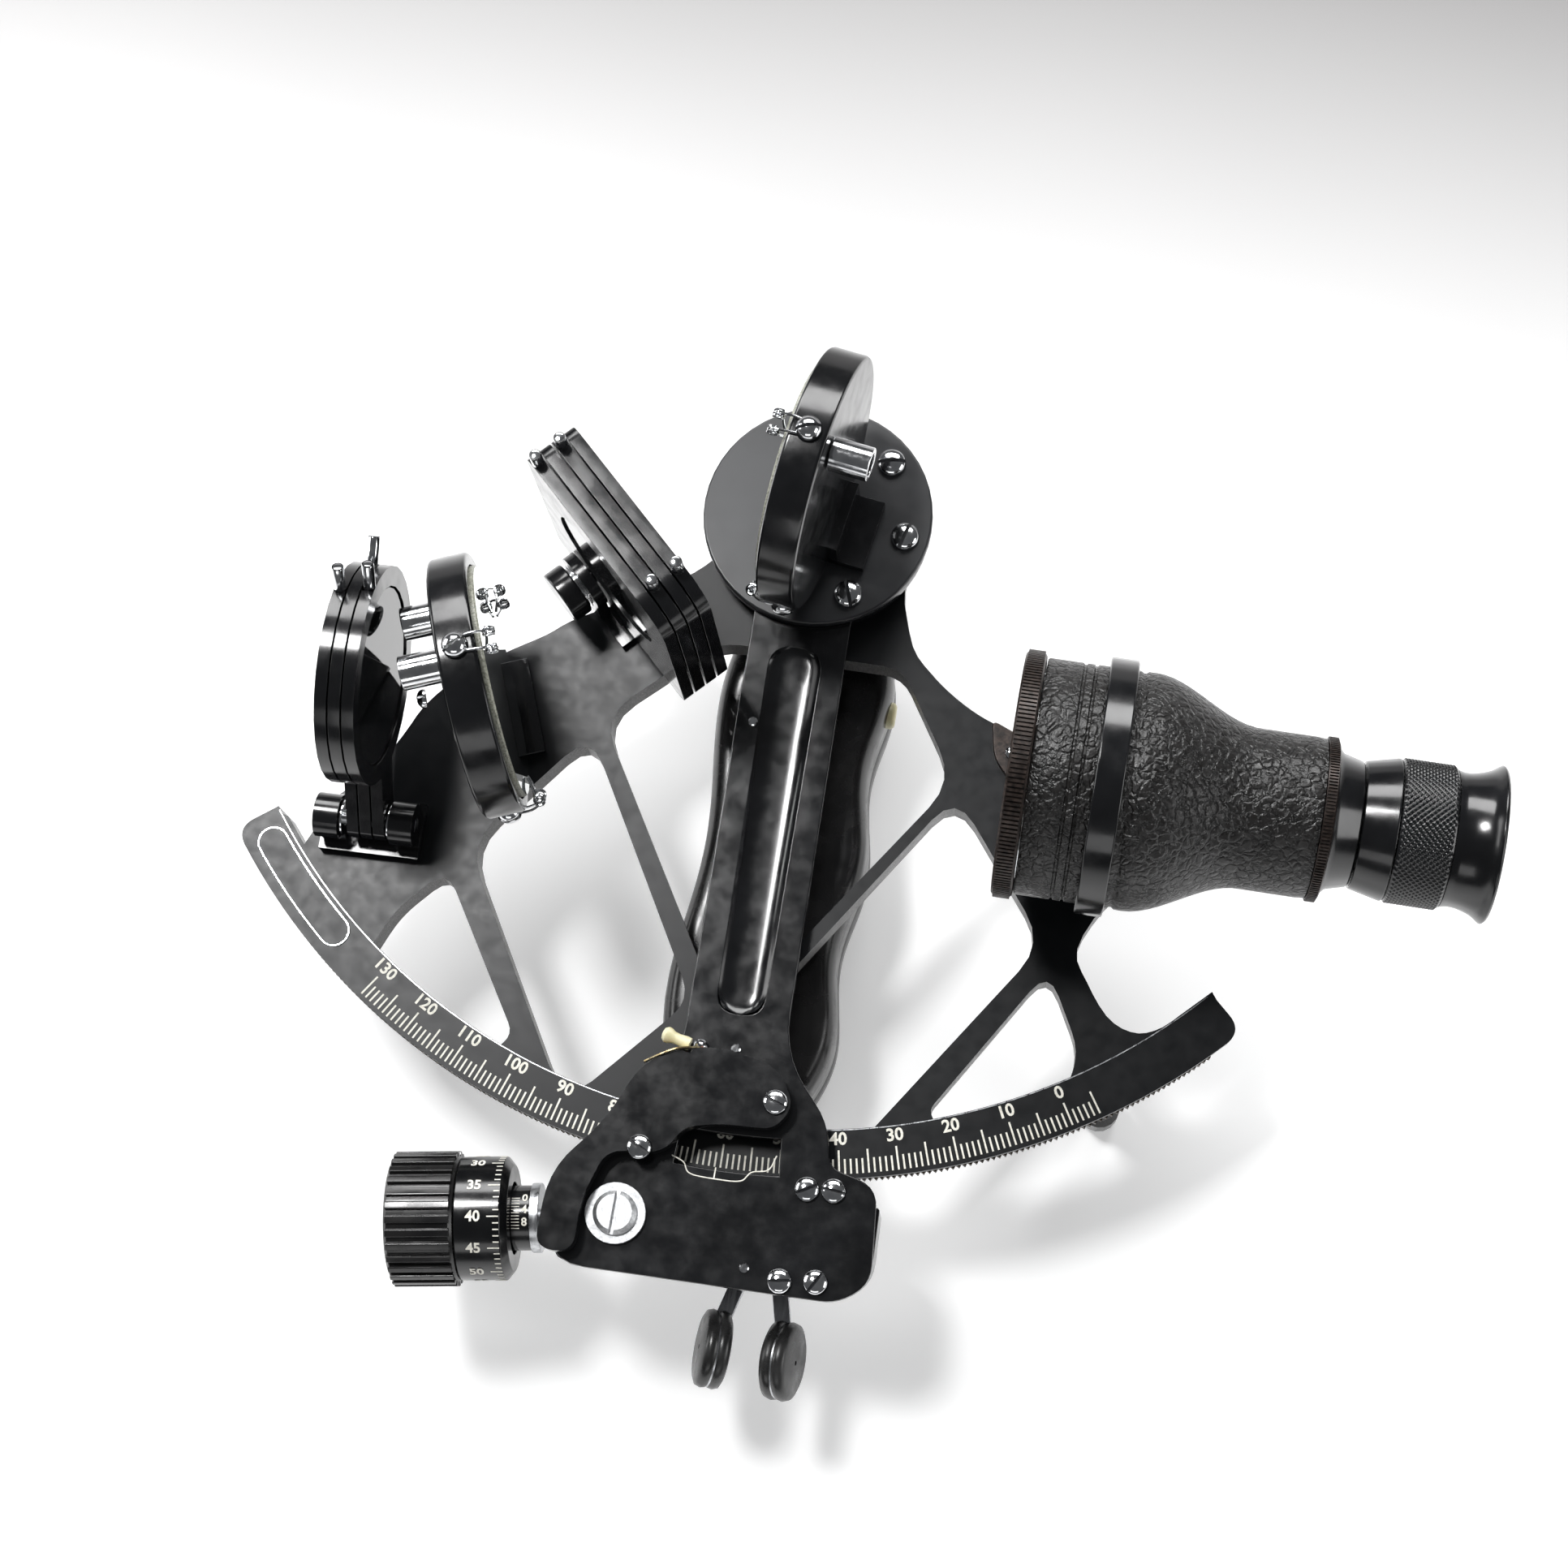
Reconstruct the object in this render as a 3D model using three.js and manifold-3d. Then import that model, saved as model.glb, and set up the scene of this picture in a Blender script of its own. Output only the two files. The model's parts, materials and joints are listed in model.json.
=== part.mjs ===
// A micrometer sextant, in millimetres, +Z up, lying on its three legs.
// Built about the index arm's pivot: Z is the pivot axis, z = 0 is the face of the graduated arc,
// and the arc opens towards -Y. The last step moves the origin to the middle of the base.
import * as THREE from 'three';
import { mergeVertices } from 'three/addons/utils/BufferGeometryUtils.js';
import Module from 'manifold-3d';

const wasm = await Module();
wasm.setup();

// ---------------------------------------------------------------- driving dimensions
const GAP = 0.3;
const LIMB_OUTER = 163;
const LIMB_INNER = 151.3;
const LIMB_START = -142.6;
const LIMB_END = -42.4;
const WEB = 8;
const MARKS_AT_MIDDLE = 62.5;
const READING = 60.6;
const FLOOR = -50;
const LEG_RADIUS_ON_LIMB = 156.5;

const RACK_INNER = 160.2;
const RACK_OUTER = 163.2;
// One turn of the worm moves the arm by one tooth, half a degree.
const RACK_PITCH = 0.5;
const RACK_TEETH = 188;

const ARM_BOTTOM = 2.8;
const ARM_TOP = 6;
const ARM_HALF = 12.1;
const HUB_RADIUS = 28;
const DISC_RADIUS = 28.5;
const DISC_TOP = 9;

const AXIS_HEIGHT = 40;
const MIRROR_RADIUS = 31;
const MIRROR_DEPTH = 9.3;
const GLASS_RADIUS = 27.6;
const INDEX_MIRROR_ANGLE = -8.7;
const HORIZON_MIRROR = { x: -68.1, y: -64.7, angle: 21.6 };

const TELESCOPE_Y = -66.4;

const WORM_ANGLE = 9.9;
const WORM_HEIGHT = -5;
const KNOB_END = { x: -74, y: -186.5 };

const RAD = Math.PI / 180;

// ---------------------------------------------------------------- solids
const group = new THREE.Group();

const FINISH = {
  casting: { color: 0x16181b, roughness: 0.5, metalness: 0.2 },
  gloss: { color: 0x0c0d0f, roughness: 0.2, metalness: 0.2 },
  plastic: { color: 0x0e0e0f, roughness: 0.3, metalness: 0 },
  rubber: { color: 0x151515, roughness: 0.8, metalness: 0 },
  leather: { color: 0x1b1a19, roughness: 0.7, metalness: 0 },
  ring: { color: 0x2a2421, roughness: 0.5, metalness: 0.3 },
  steel: { color: 0xb9bcc0, roughness: 0.3, metalness: 1 },
  chrome: { color: 0xe2e4e6, roughness: 0.12, metalness: 1 },
  bronze: { color: 0x6a5232, roughness: 0.4, metalness: 1 },
  mirror: { color: 0xd8dcda, roughness: 0.03, metalness: 1 },
  glass: { color: 0x9aa39f, roughness: 0.05, metalness: 0, transparent: true, opacity: 0.4 },
  ivory: { color: 0xe6dfb8, roughness: 0.5, metalness: 0 },
};

// A closed geometry as a manifold solid, whichever way round its faces were made.
function solid(geometry) {
  const bare = geometry.index ? geometry.toNonIndexed() : geometry.clone();
  for (const name of Object.keys(bare.attributes)) {
    if (name !== 'position') bare.deleteAttribute(name);
  }
  const merged = mergeVertices(bare, 1e-4);
  const vertProperties = merged.attributes.position.array;
  const triVerts = new Uint32Array(merged.index.array);
  const made = new wasm.Manifold(new wasm.Mesh({ numProp: 3, vertProperties, triVerts }));
  if (made.volume() > 0) return made;
  for (let i = 0; i < triVerts.length; i += 3) {
    [triVerts[i + 1], triVerts[i + 2]] = [triVerts[i + 2], triVerts[i + 1]];
  }
  return new wasm.Manifold(new wasm.Mesh({ numProp: 3, vertProperties, triVerts }));
}

function geometryOf(made) {
  const mesh = made.getMesh();
  const geometry = new THREE.BufferGeometry();
  const position = new THREE.BufferAttribute(new Float32Array(mesh.vertProperties), 3);
  geometry.setAttribute('position', position);
  geometry.setIndex(new THREE.BufferAttribute(new Uint32Array(mesh.triVerts), 1));
  const flat = geometry.toNonIndexed();
  flat.computeVertexNormals();
  return flat;
}

// Moves a solid: turned so that its Z lies along direction, then shifted.
function moved(made, position, direction = [0, 0, 1], up = [0, 0, 1]) {
  const z = new THREE.Vector3(...direction).normalize();
  const flat = Math.abs(z.dot(new THREE.Vector3(...up))) > 0.99;
  const y = flat ? new THREE.Vector3(0, 1, 0) : new THREE.Vector3(...up);
  const x = new THREE.Vector3().crossVectors(y, z).normalize();
  y.crossVectors(z, x);
  const matrix = new THREE.Matrix4().makeBasis(x, y, z).setPosition(...position);
  return solid(geometryOf(made).applyMatrix4(matrix));
}

function extruded(shape, low, high, curveSegments = 8) {
  const options = { depth: high - low, bevelEnabled: false, curveSegments };
  return solid(new THREE.ExtrudeGeometry(shape, options).translate(0, 0, low));
}

// A round piece about Z: profile points [radius, height], first and last on the axis or the same.
function turned(profile, segments = 32) {
  const points = profile.map(([radius, height]) => new THREE.Vector2(radius, height));
  return solid(new THREE.LatheGeometry(points, segments).rotateX(90 * RAD));
}

function rod(radius, low, high, segments = 24) {
  return turned([[0, low], [radius, low], [radius, high], [0, high]], segments);
}

function tube(inner, outer, low, high, segments = 32) {
  return turned([[inner, low], [outer, low], [outer, high], [inner, high], [inner, low]], segments);
}

function block(x0, x1, y0, y1, z0, z1) {
  const geometry = new THREE.BoxGeometry(x1 - x0, y1 - y0, z1 - z0);
  return solid(geometry.translate((x0 + x1) / 2, (y0 + y1) / 2, (z0 + z1) / 2));
}

// A closed outline whose corners are rounded, each given as [x, y, radius].
function rounded(corners) {
  const shape = new THREE.Shape();
  corners.forEach(([x, y, radius], i) => {
    const before = corners[(i + corners.length - 1) % corners.length];
    const after = corners[(i + 1) % corners.length];
    const towards = ([tx, ty]) => {
      const length = Math.hypot(tx - x, ty - y);
      return [x + (tx - x) * radius / length, y + (ty - y) * radius / length];
    };
    const start = towards(before);
    const end = towards(after);
    if (i === 0) shape.moveTo(...start);
    else shape.lineTo(...start);
    shape.quadraticCurveTo(x, y, ...end);
  });
  shape.closePath();
  return shape;
}

// Part of a ring about the pivot, with square ends.
function sector(inner, outer, startDegrees, endDegrees) {
  const shape = new THREE.Shape();
  shape.absarc(0, 0, outer, startDegrees * RAD, endDegrees * RAD, false);
  shape.absarc(0, 0, inner, endDegrees * RAD, startDegrees * RAD, true);
  shape.closePath();
  return shape;
}

function add(name, made, finish) {
  const mesh = new THREE.Mesh(geometryOf(made), new THREE.MeshStandardMaterial(FINISH[finish]));
  mesh.name = name;
  group.add(mesh);
  return mesh;
}

function flatDirection(degrees) {
  return [Math.cos(degrees * RAD), Math.sin(degrees * RAD), 0];
}

// ---------------------------------------------------------------- frame casting
function webOutline() {
  const shape = new THREE.Shape();
  shape.moveTo(112, -101.7);
  const strut = [[106.7, -107], [101, -112.4], [95.3, -114.4], [88.8, -112], [82.7, -104.5],
    [79, -96.5]];
  const lobe = [[84.5, -84], [93, -74], [95, -62], [88, -52], [74, -48], [60, -46.8], [52.2, -44.5]];
  const neck = [[46.1, -42.1], [39.7, -38.4], [33.9, -33.9], [28.4, -28], [24.4, -17]];
  shape.splineThru([...strut, ...lobe, ...neck].map(([x, y]) => new THREE.Vector2(x, y)));
  shape.absarc(0, 0, 26, -25 * RAD, 205 * RAD, false);
  const shoulder = [[-29.8, -17.2], [-43, -25.5], [-56.6, -33.3], [-62.8, -38.3], [-71.5, -44]];
  const left = [[-81, -51], [-89, -60.4], [-93.2, -69.3], [-99, -80], [-107, -88], [-110, -96],
    [-111.8, -100.4]];
  shape.splineThru([...shoulder, ...left].map(([x, y]) => new THREE.Vector2(x, y)));
  shape.lineTo(-117.3, -94);
  shape.lineTo(-121.5, -93);
  shape.absarc(0, 0, 153.5, LIMB_START * RAD, LIMB_END * RAD, false);
  shape.closePath();
  return shape;
}

const HOLES = [
  [[-75.5, -101, 6], [-51.5, -138.5, 3], [-60, -149, 2], [-92, -128, 2], [-86, -113, 5]],
  [[-47, -61.5, 9], [-10.5, -123.5, 6], [-33, -149.5, 4], [-40.5, -146, 2.5], [-71.5, -94, 9]],
  [[-45, -57, 9], [-20.5, -33.6, 7], [26.5, -33.6, 5], [43.5, -60, 9], [-1.8, -127.5, 4]],
  [[44.5, -63, 9], [71, -96.5, 9], [36, -149.5, 2.5], [28, -151, 4], [6.5, -121.5, 6]],
  [[73, -102.5, 7], [83, -121, 5], [81, -132, 2], [55, -147, 2], [50, -140.5, 2]],
];

// The curved bar that carries the degree marks, rounded at its outer corners.
function limb(outer) {
  const corner = 5;
  const end = (degrees) => {
    const at = (radius) => flatDirection(degrees).slice(0, 2).map((v) => v * radius);
    return { tip: at(outer), side: at(outer - corner) };
  };
  const shape = new THREE.Shape();
  const trim = corner / outer;
  shape.absarc(0, 0, outer, LIMB_START * RAD + trim, LIMB_END * RAD - trim, false);
  shape.quadraticCurveTo(...end(LIMB_END).tip, ...end(LIMB_END).side);
  shape.absarc(0, 0, LIMB_INNER, LIMB_END * RAD, LIMB_START * RAD, true);
  shape.lineTo(...end(LIMB_START).side);
  const first = flatDirection(LIMB_START + trim / RAD).slice(0, 2).map((v) => v * outer);
  shape.quadraticCurveTo(...end(LIMB_START).tip, ...first);
  shape.closePath();
  return shape;
}

function frameCasting() {
  let web = extruded(webOutline(), -WEB, 0, 3);
  for (const hole of HOLES) web = web.subtract(extruded(rounded(hole), -WEB - 1, 1, 4));
  const face = extruded(limb(LIMB_OUTER), -1.8, 0, 36);
  const back = extruded(limb(RACK_INNER - GAP), -WEB, -0.5, 36);
  let casting = web.add(face).add(back);
  casting = casting.add(rod(14, -20, -WEB + 0.5, 32));
  return casting.subtract(rod(9.3, -30, 5, 32));
}

function wormRack() {
  const start = (LIMB_START + LIMB_END - RACK_TEETH * RACK_PITCH) / 2;
  const shape = new THREE.Shape();
  const at = (radius, degrees) => [radius * Math.cos(degrees * RAD), radius * Math.sin(degrees * RAD)];
  shape.moveTo(...at(RACK_OUTER - 0.8, start));
  for (let tooth = 0; tooth < RACK_TEETH; tooth += 1) {
    shape.lineTo(...at(RACK_OUTER, start + (tooth + 0.5) * RACK_PITCH));
    shape.lineTo(...at(RACK_OUTER - 0.8, start + (tooth + 1) * RACK_PITCH));
  }
  const end = start + RACK_TEETH * RACK_PITCH;
  shape.absarc(0, 0, RACK_INNER, end * RAD, start * RAD, true);
  shape.closePath();
  return extruded(shape, -7.2, -2.1, 36);
}

function leg(z, radius) {
  return turned([[0, FLOOR], [radius - 1, FLOOR], [radius, FLOOR + 1.5], [radius, FLOOR + 9],
    [3.6, FLOOR + 11], [3.6, z], [0, z]], 16);
}

add('frame_casting', frameCasting(), 'casting');
add('worm_rack', wormRack(), 'bronze');
for (const [name, degrees] of [['leg_left', -119.3], ['leg_right', -54.5]]) {
  const [x, y] = flatDirection(degrees).map((v) => v * LEG_RADIUS_ON_LIMB);
  add(name, moved(leg(-WEB - GAP, 5), [x, y, 0]), 'plastic');
}
add('pivot_bush', tube(6.1, 9, -19.5, 0, 32), 'bronze');
add('leg_rear', turned([[0, FLOOR], [4, FLOOR], [5, FLOOR + 1.5], [5, FLOOR + 9], [4, FLOOR + 11],
  [4, -32], [13, -27], [13, -20 - GAP], [0, -20 - GAP]], 24), 'plastic');

// ---------------------------------------------------------------- handle
const HANDLE = { left: -18, right: 23, top: -22, bottom: -139, low: -44, high: -12, split: -28 };

// Finger waves run down both long sides, closer together on the grip side.
function handleOutline(inset) {
  const shape = new THREE.Shape();
  const steps = 16;
  const length = HANDLE.top - HANDLE.bottom - 2 * inset;
  const edge = (x, side, waves, t) => [
    x - side * inset + side * (1.6 * Math.sin(waves * 2 * Math.PI * t) - 2.2 * (2 * t - 1) ** 6),
    HANDLE.top - inset - t * length,
  ];
  const right = Array.from({ length: steps + 1 }, (_, i) => edge(HANDLE.right, 1, 2.5, i / steps));
  const left = Array.from({ length: steps + 1 }, (_, i) => edge(HANDLE.left, -1, 1.5, 1 - i / steps));
  [...right, ...left].forEach(([x, y], i) => (i ? shape.lineTo(x, y) : shape.moveTo(x, y)));
  shape.closePath();
  return shape;
}

const BUTTON = { y: -40, z: -21.2, radius: 3.4 };

function handleShell(low, high, open) {
  const outer = extruded(handleOutline(0), low + 3, high - 3)
    .add(extruded(handleOutline(2.5), low, high));
  const pocket = block(HANDLE.left + 6, HANDLE.right - 6, HANDLE.bottom + 8, HANDLE.top - 8,
    open > 0 ? low + 4 : low - 1, open > 0 ? high + 1 : high - 4);
  return outer.subtract(pocket);
}

// The handle hangs on two pillars that stand up to the frame.
function pillars() {
  const upper = moved(rod(5.5, HANDLE.high - 2, -WEB - GAP, 16), [2, -27.5, 0]);
  const lower = moved(rod(5.5, HANDLE.high - 2, -WEB - GAP, 16), [-2, -133, 0]);
  return upper.add(lower);
}

const buttonHole = moved(rod(BUTTON.radius + 0.4, 0, 12, 20), [15, BUTTON.y, BUTTON.z], [1, 0, 0]);
const upperShell = handleShell(HANDLE.split + 0.2, HANDLE.high, -1).add(pillars()).subtract(buttonHole);
add('handle_upper_shell', upperShell, 'plastic');
add('handle_lower_shell', handleShell(HANDLE.low, HANDLE.split - 0.2, 1), 'plastic');
const buttonProfile = [[0, 0], [4.6, 0], [4.6, 1.2], [BUTTON.radius, 1.2], [BUTTON.radius, 9.4],
  [2.8, 10.2], [0, 10.2]];
add('lamp_button', moved(turned(buttonProfile, 20), [15.2, BUTTON.y, BUTTON.z], [1, 0, 0]), 'ivory');
for (const [name, x] of [['battery_cell_1', -4.7], ['battery_cell_2', 9.7]]) {
  const cell = turned([[0, 0], [7, 0], [7, 49], [2.6, 49], [2.6, 50.5], [0, 50.5]], 20);
  add(name, moved(cell, [x, -120, HANDLE.split], [0, 1, 0]), 'steel');
}

// ---------------------------------------------------------------- telescope
const ALONG_X = [1, 0, 0];

function onTelescopeAxis(made) {
  return moved(made, [0, TELESCOPE_Y, AXIS_HEIGHT], ALONG_X);
}

// The barrel stays wide past the ring, then draws in along an S curve.
function barrelRadius(x) {
  const t = Math.min(Math.max((x - 87) / 25, 0), 1);
  return 27.6 - 9.2 * t * t * (3 - 2 * t);
}

function telescopeBarrel() {
  const outside = [[24.4, 62.3], [27.4, 62.3], [27.4, 87]];
  for (let x = 91; x <= 113; x += 4) outside.push([barrelRadius(x), x]);
  outside.push([18.4, 127.3], [18.9, 127.4], [18.9, 129.4], [15.5, 130], [14.6, 136], [11, 136]);
  return turned([...outside, [11, 128], [16, 116], [24.4, 86], [24.4, 62.3]], 28);
}

add('objective_ring', onTelescopeAxis(turned([[24.4, 57.2], [28.7, 57.2], [28.7, 62], [24.4, 62],
  [24.4, 57.2]], 32)), 'ring');
add('objective_lens', onTelescopeAxis(turned([[0, 58.8], [14, 59.4], [24.1, 61.2], [24.1, 65],
  [0, 65]], 32)), 'glass');
add('telescope_barrel', onTelescopeAxis(telescopeBarrel()), 'leather');
add('eyepiece_sleeve', onTelescopeAxis(turned([[10.5, 136.3], [14.6, 136.3], [16.3, 143.5], [16.3, 144],
  [10.5, 144], [10.5, 136.3]], 32)), 'gloss');
add('focus_ring', onTelescopeAxis(tube(10.5, 16.6, 144.3, 156.4, 32)), 'gloss');
add('eyecup', onTelescopeAxis(turned([[10.5, 156.7], [15.6, 156.7], [15.4, 160.4], [16.2, 163.8],
  [18.1, 166.6], [17.4, 167.2], [14.6, 165], [12.8, 161.2], [10.5, 160.8], [10.5, 156.7]], 32)), 'rubber');
add('eye_lens', onTelescopeAxis(turned([[0, 152], [10.2, 152], [10.2, 155.4], [6, 156],
  [0, 156.2]], 24)), 'glass');

const BAND = { start: 76.4, end: 82.9, inner: 27.7, outer: 29.6 };

function telescopeBracket() {
  const foot = extruded(rounded([[66, -55, 3], [93, -55, 3], [93, -77, 3], [67, -77, 3]]), GAP, 4);
  const stem = block(BAND.start, BAND.end, TELESCOPE_Y - 8, TELESCOPE_Y + 8, 3.5, AXIS_HEIGHT - 20);
  const band = onTelescopeAxis(rod(BAND.outer, BAND.start, BAND.end, 40));
  const bore = onTelescopeAxis(rod(BAND.inner, BAND.start - 1, BAND.end + 1, 40));
  return foot.add(stem).add(band).subtract(bore);
}

add('telescope_bracket', telescopeBracket(), 'gloss');

// ---------------------------------------------------------------- mirrors
// A mirror stands in a cup whose open side faces along its angle. Three screws round its rim hold
// the spring clips.
const CLIP_SCREW = { turns: [90, 210, 330], radius: 3, height: 3.2, behind: 4.6 };
function mirrorCup(depth) {
  let cup = turned([[0, -depth], [MIRROR_RADIUS - 0.8, -depth], [MIRROR_RADIUS, -depth + 0.8],
    [MIRROR_RADIUS, -0.6], [MIRROR_RADIUS - 0.6, 0], [GLASS_RADIUS + GAP, 0],
    [GLASS_RADIUS + GAP, -4.2], [22, -4.2], [22, -depth + 2.4], [0, -depth + 2.4]], 40);
  for (const turn of CLIP_SCREW.turns) {
    const head = rod(CLIP_SCREW.radius, MIRROR_RADIUS - 1, MIRROR_RADIUS + CLIP_SCREW.height, 12);
    cup = cup.add(moved(head, [0, 0, -CLIP_SCREW.behind], flatDirection(turn)));
  }
  return cup;
}

const indexNormal = flatDirection(INDEX_MIRROR_ANGLE + 180);
const indexFace = [-2.83 - 0.32, 0.43 - 2.12, AXIS_HEIGHT];
const onIndexMirror = (made) => moved(made, indexFace, indexNormal);
const horizonNormal = flatDirection(HORIZON_MIRROR.angle);
const horizonFace = [HORIZON_MIRROR.x + 4.65 * horizonNormal[0],
  HORIZON_MIRROR.y + 4.65 * horizonNormal[1], AXIS_HEIGHT];
const onHorizonMirror = (made) => moved(made, horizonFace, horizonNormal);

// The cup's foot: a web behind it and a flange down on the part that carries it.
// In the mirror's own frame X runs across, Y is up and Z faces out of the glass.
function mirrorFoot(low, across, back) {
  const upright = block(-across, across, low, -20, -MIRROR_DEPTH - 2.5, -MIRROR_DEPTH + 1);
  const flange = block(-across, across, low, low + 2.6, -MIRROR_DEPTH - back, -MIRROR_DEPTH + 1);
  return upright.add(flange);
}

const indexLow = DISC_TOP + GAP - AXIS_HEIGHT;
const indexCup = mirrorCup(MIRROR_DEPTH).intersect(block(-40, 40, indexLow, 40, -20, 5));
add('index_mirror_frame', onIndexMirror(indexCup.add(mirrorFoot(indexLow, 9, 9))), 'gloss');
const glassDisc = turned([[0, -4], [GLASS_RADIUS - 0.4, -4], [GLASS_RADIUS, -3.6], [GLASS_RADIUS, 0.6],
  [GLASS_RADIUS - 0.5, 1.1], [0, 1.1]], 40);
add('index_mirror_glass', onIndexMirror(glassDisc), 'mirror');
const socket = turned([[0, 0], [4, 0], [4, 9.5], [2.7, 9.5], [2.7, 3.5], [0, 3.5]], 20);
const behind = (x, y) => moved(socket, [x, y, -MIRROR_DEPTH - GAP], [0, 0, -1], [0, 1, 0]);
add('index_mirror_adjuster', onIndexMirror(behind(0, 20)), 'chrome');

const horizonLow = GAP - AXIS_HEIGHT;
function horizonFoot() {
  const upright = block(-7, 7, horizonLow, -28, -MIRROR_DEPTH + 0.5, -2);
  const flange = block(-7.5, 17, horizonLow, horizonLow + 2, -MIRROR_DEPTH - 5, 4.5);
  return upright.add(flange);
}
add('horizon_mirror_frame', onHorizonMirror(mirrorCup(MIRROR_DEPTH).add(horizonFoot())), 'gloss');
add('horizon_mirror_glass', onHorizonMirror(glassDisc), 'mirror');
add('horizon_mirror_adjuster_top', onHorizonMirror(behind(0, 20)), 'chrome');
add('horizon_mirror_adjuster_side', onHorizonMirror(behind(18, 2)), 'chrome');

// ---------------------------------------------------------------- horizon shades
const HORIZON_SHADE = {
  axis: 2, pitch: 3.2, thick: 2.8, radius: 26, glass: 21, shaftRadius: 1.8, reach: 28, rise: 30.4,
  pinTurns: [12, -23, 8],
};
const SHADE_SHAFT = { x: -94.3, y: -93.9, z: 9.6 };

// In the shade's own frame Z runs along the shaft, X is level and Y is up.
const horizonShaft = (made) => moved(made, [SHADE_SHAFT.x, SHADE_SHAFT.y, SHADE_SHAFT.z],
  flatDirection(HORIZON_SHADE.axis));

function horizonShadePlate(pinTurn) {
  const { reach, rise, radius, thick } = HORIZON_SHADE;
  const shape = new THREE.Shape();
  const angle = Math.atan2(rise, reach);
  const distance = Math.hypot(reach, rise);
  const spread = 5 / radius;
  shape.absarc(distance, 0, radius, Math.PI + spread, Math.PI - spread + 2 * Math.PI, false);
  shape.absarc(0, 0, 4.6, 100 * RAD, 260 * RAD, false);
  shape.closePath();
  const bore = rod(HORIZON_SHADE.shaftRadius + 0.2, -5, 5, 16);
  const plate = extruded(shape, -thick / 2, thick / 2, 14).subtract(bore);
  const window = moved(rod(HORIZON_SHADE.glass + GAP, -5, 5, 28), [distance, 0, 0]);
  const pin = moved(rod(1.35, radius - 1.5, radius + 6.5, 12), [distance, 0, 0], flatDirection(pinTurn));
  return { made: plate.subtract(window).add(pin), angle, distance };
}

HORIZON_SHADE.pinTurns.forEach((pinTurn, i) => {
  const { made, angle, distance } = horizonShadePlate(pinTurn);
  const turnUp = (piece) => solid(geometryOf(piece).rotateZ(angle));
  const along = (i - 1) * HORIZON_SHADE.pitch;
  const shift = (piece) => horizonShaft(moved(turnUp(piece), [0, 0, along]));
  add(`horizon_shade_${i + 1}`, shift(made), 'gloss');
  const pane = moved(rod(HORIZON_SHADE.glass, -1, 1, 28), [distance, 0, 0]);
  add(`horizon_shade_glass_${i + 1}`, shift(pane), 'glass');
});

function horizonShadeBracket() {
  const base = block(-7, 7, -9.3, -6.2, -13.2, 11.6);
  const bore = rod(HORIZON_SHADE.shaftRadius + 0.2, -20, 20, 16);
  const ears = [[-13, -7], [5.6, 11.4]].map(([from, to]) =>
    rod(5.4, from, to, 24).add(block(-4, 4, -8, 0, from, to)));
  return base.add(ears[0]).add(ears[1]).subtract(bore);
}
add('horizon_shade_bracket', horizonShaft(horizonShadeBracket()), 'gloss');
add('horizon_shade_shaft', horizonShaft(rod(HORIZON_SHADE.shaftRadius, -12.6, 11, 16)), 'steel');

// ---------------------------------------------------------------- index shades
const INDEX_SHADE = {
  axis: 46.5, pitch: 3.4, thick: 3, width: 53, low: 8, high: 66, glass: 17.7, across: -11.5, height: 16,
};
const FIRST_SHADE = { x: -43.2, y: -34.5 };
const shadeNormal = flatDirection(INDEX_SHADE.axis);
const shadeAcross = flatDirection(INDEX_SHADE.axis - 90);
const indexShaftAt = [FIRST_SHADE.x + INDEX_SHADE.across * shadeAcross[0],
  FIRST_SHADE.y + INDEX_SHADE.across * shadeAcross[1], INDEX_SHADE.height];
// In this frame Z runs along the shaft towards the index mirror, X is level and Y is up.
const indexShaft = (made) => moved(made, indexShaftAt, shadeNormal);

function indexShadePlate(glass) {
  const left = INDEX_SHADE.across + INDEX_SHADE.width / 2;
  const right = left - INDEX_SHADE.width;
  const low = INDEX_SHADE.low - INDEX_SHADE.height;
  const high = INDEX_SHADE.high - INDEX_SHADE.height;
  const middle = [(left + right) / 2, AXIS_HEIGHT - INDEX_SHADE.height];
  if (glass) return moved(rod(INDEX_SHADE.glass, 0.5, 2.5, 28), [...middle, 0]);
  const outline = rounded([[left, low, 4], [left, high, 4], [right, high, 10], [right, low, 3]]);
  const plate = extruded(outline, 0, INDEX_SHADE.thick, 4);
  const window = moved(rod(INDEX_SHADE.glass + GAP, -1, 5, 28), [...middle, 0]);
  return plate.subtract(window).subtract(rod(2.3, -1, 5, 16));
}

for (let i = 0; i < 4; i += 1) {
  const shift = (made) => indexShaft(moved(made, [0, 0, i * INDEX_SHADE.pitch]));
  const pinAcross = INDEX_SHADE.across + (i % 2 ? -17 : 23.3);
  const pinHigh = INDEX_SHADE.high - INDEX_SHADE.height;
  const pin = moved(rod(1.4, 0, 5.6, 12), [pinAcross, pinHigh - 0.8, 1.5], [0, 1, 0]);
  add(`index_shade_${i + 1}`, shift(indexShadePlate(false).add(pin)), 'gloss');
  add(`index_shade_glass_${i + 1}`, shift(indexShadePlate(true)), 'glass');
}

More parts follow.
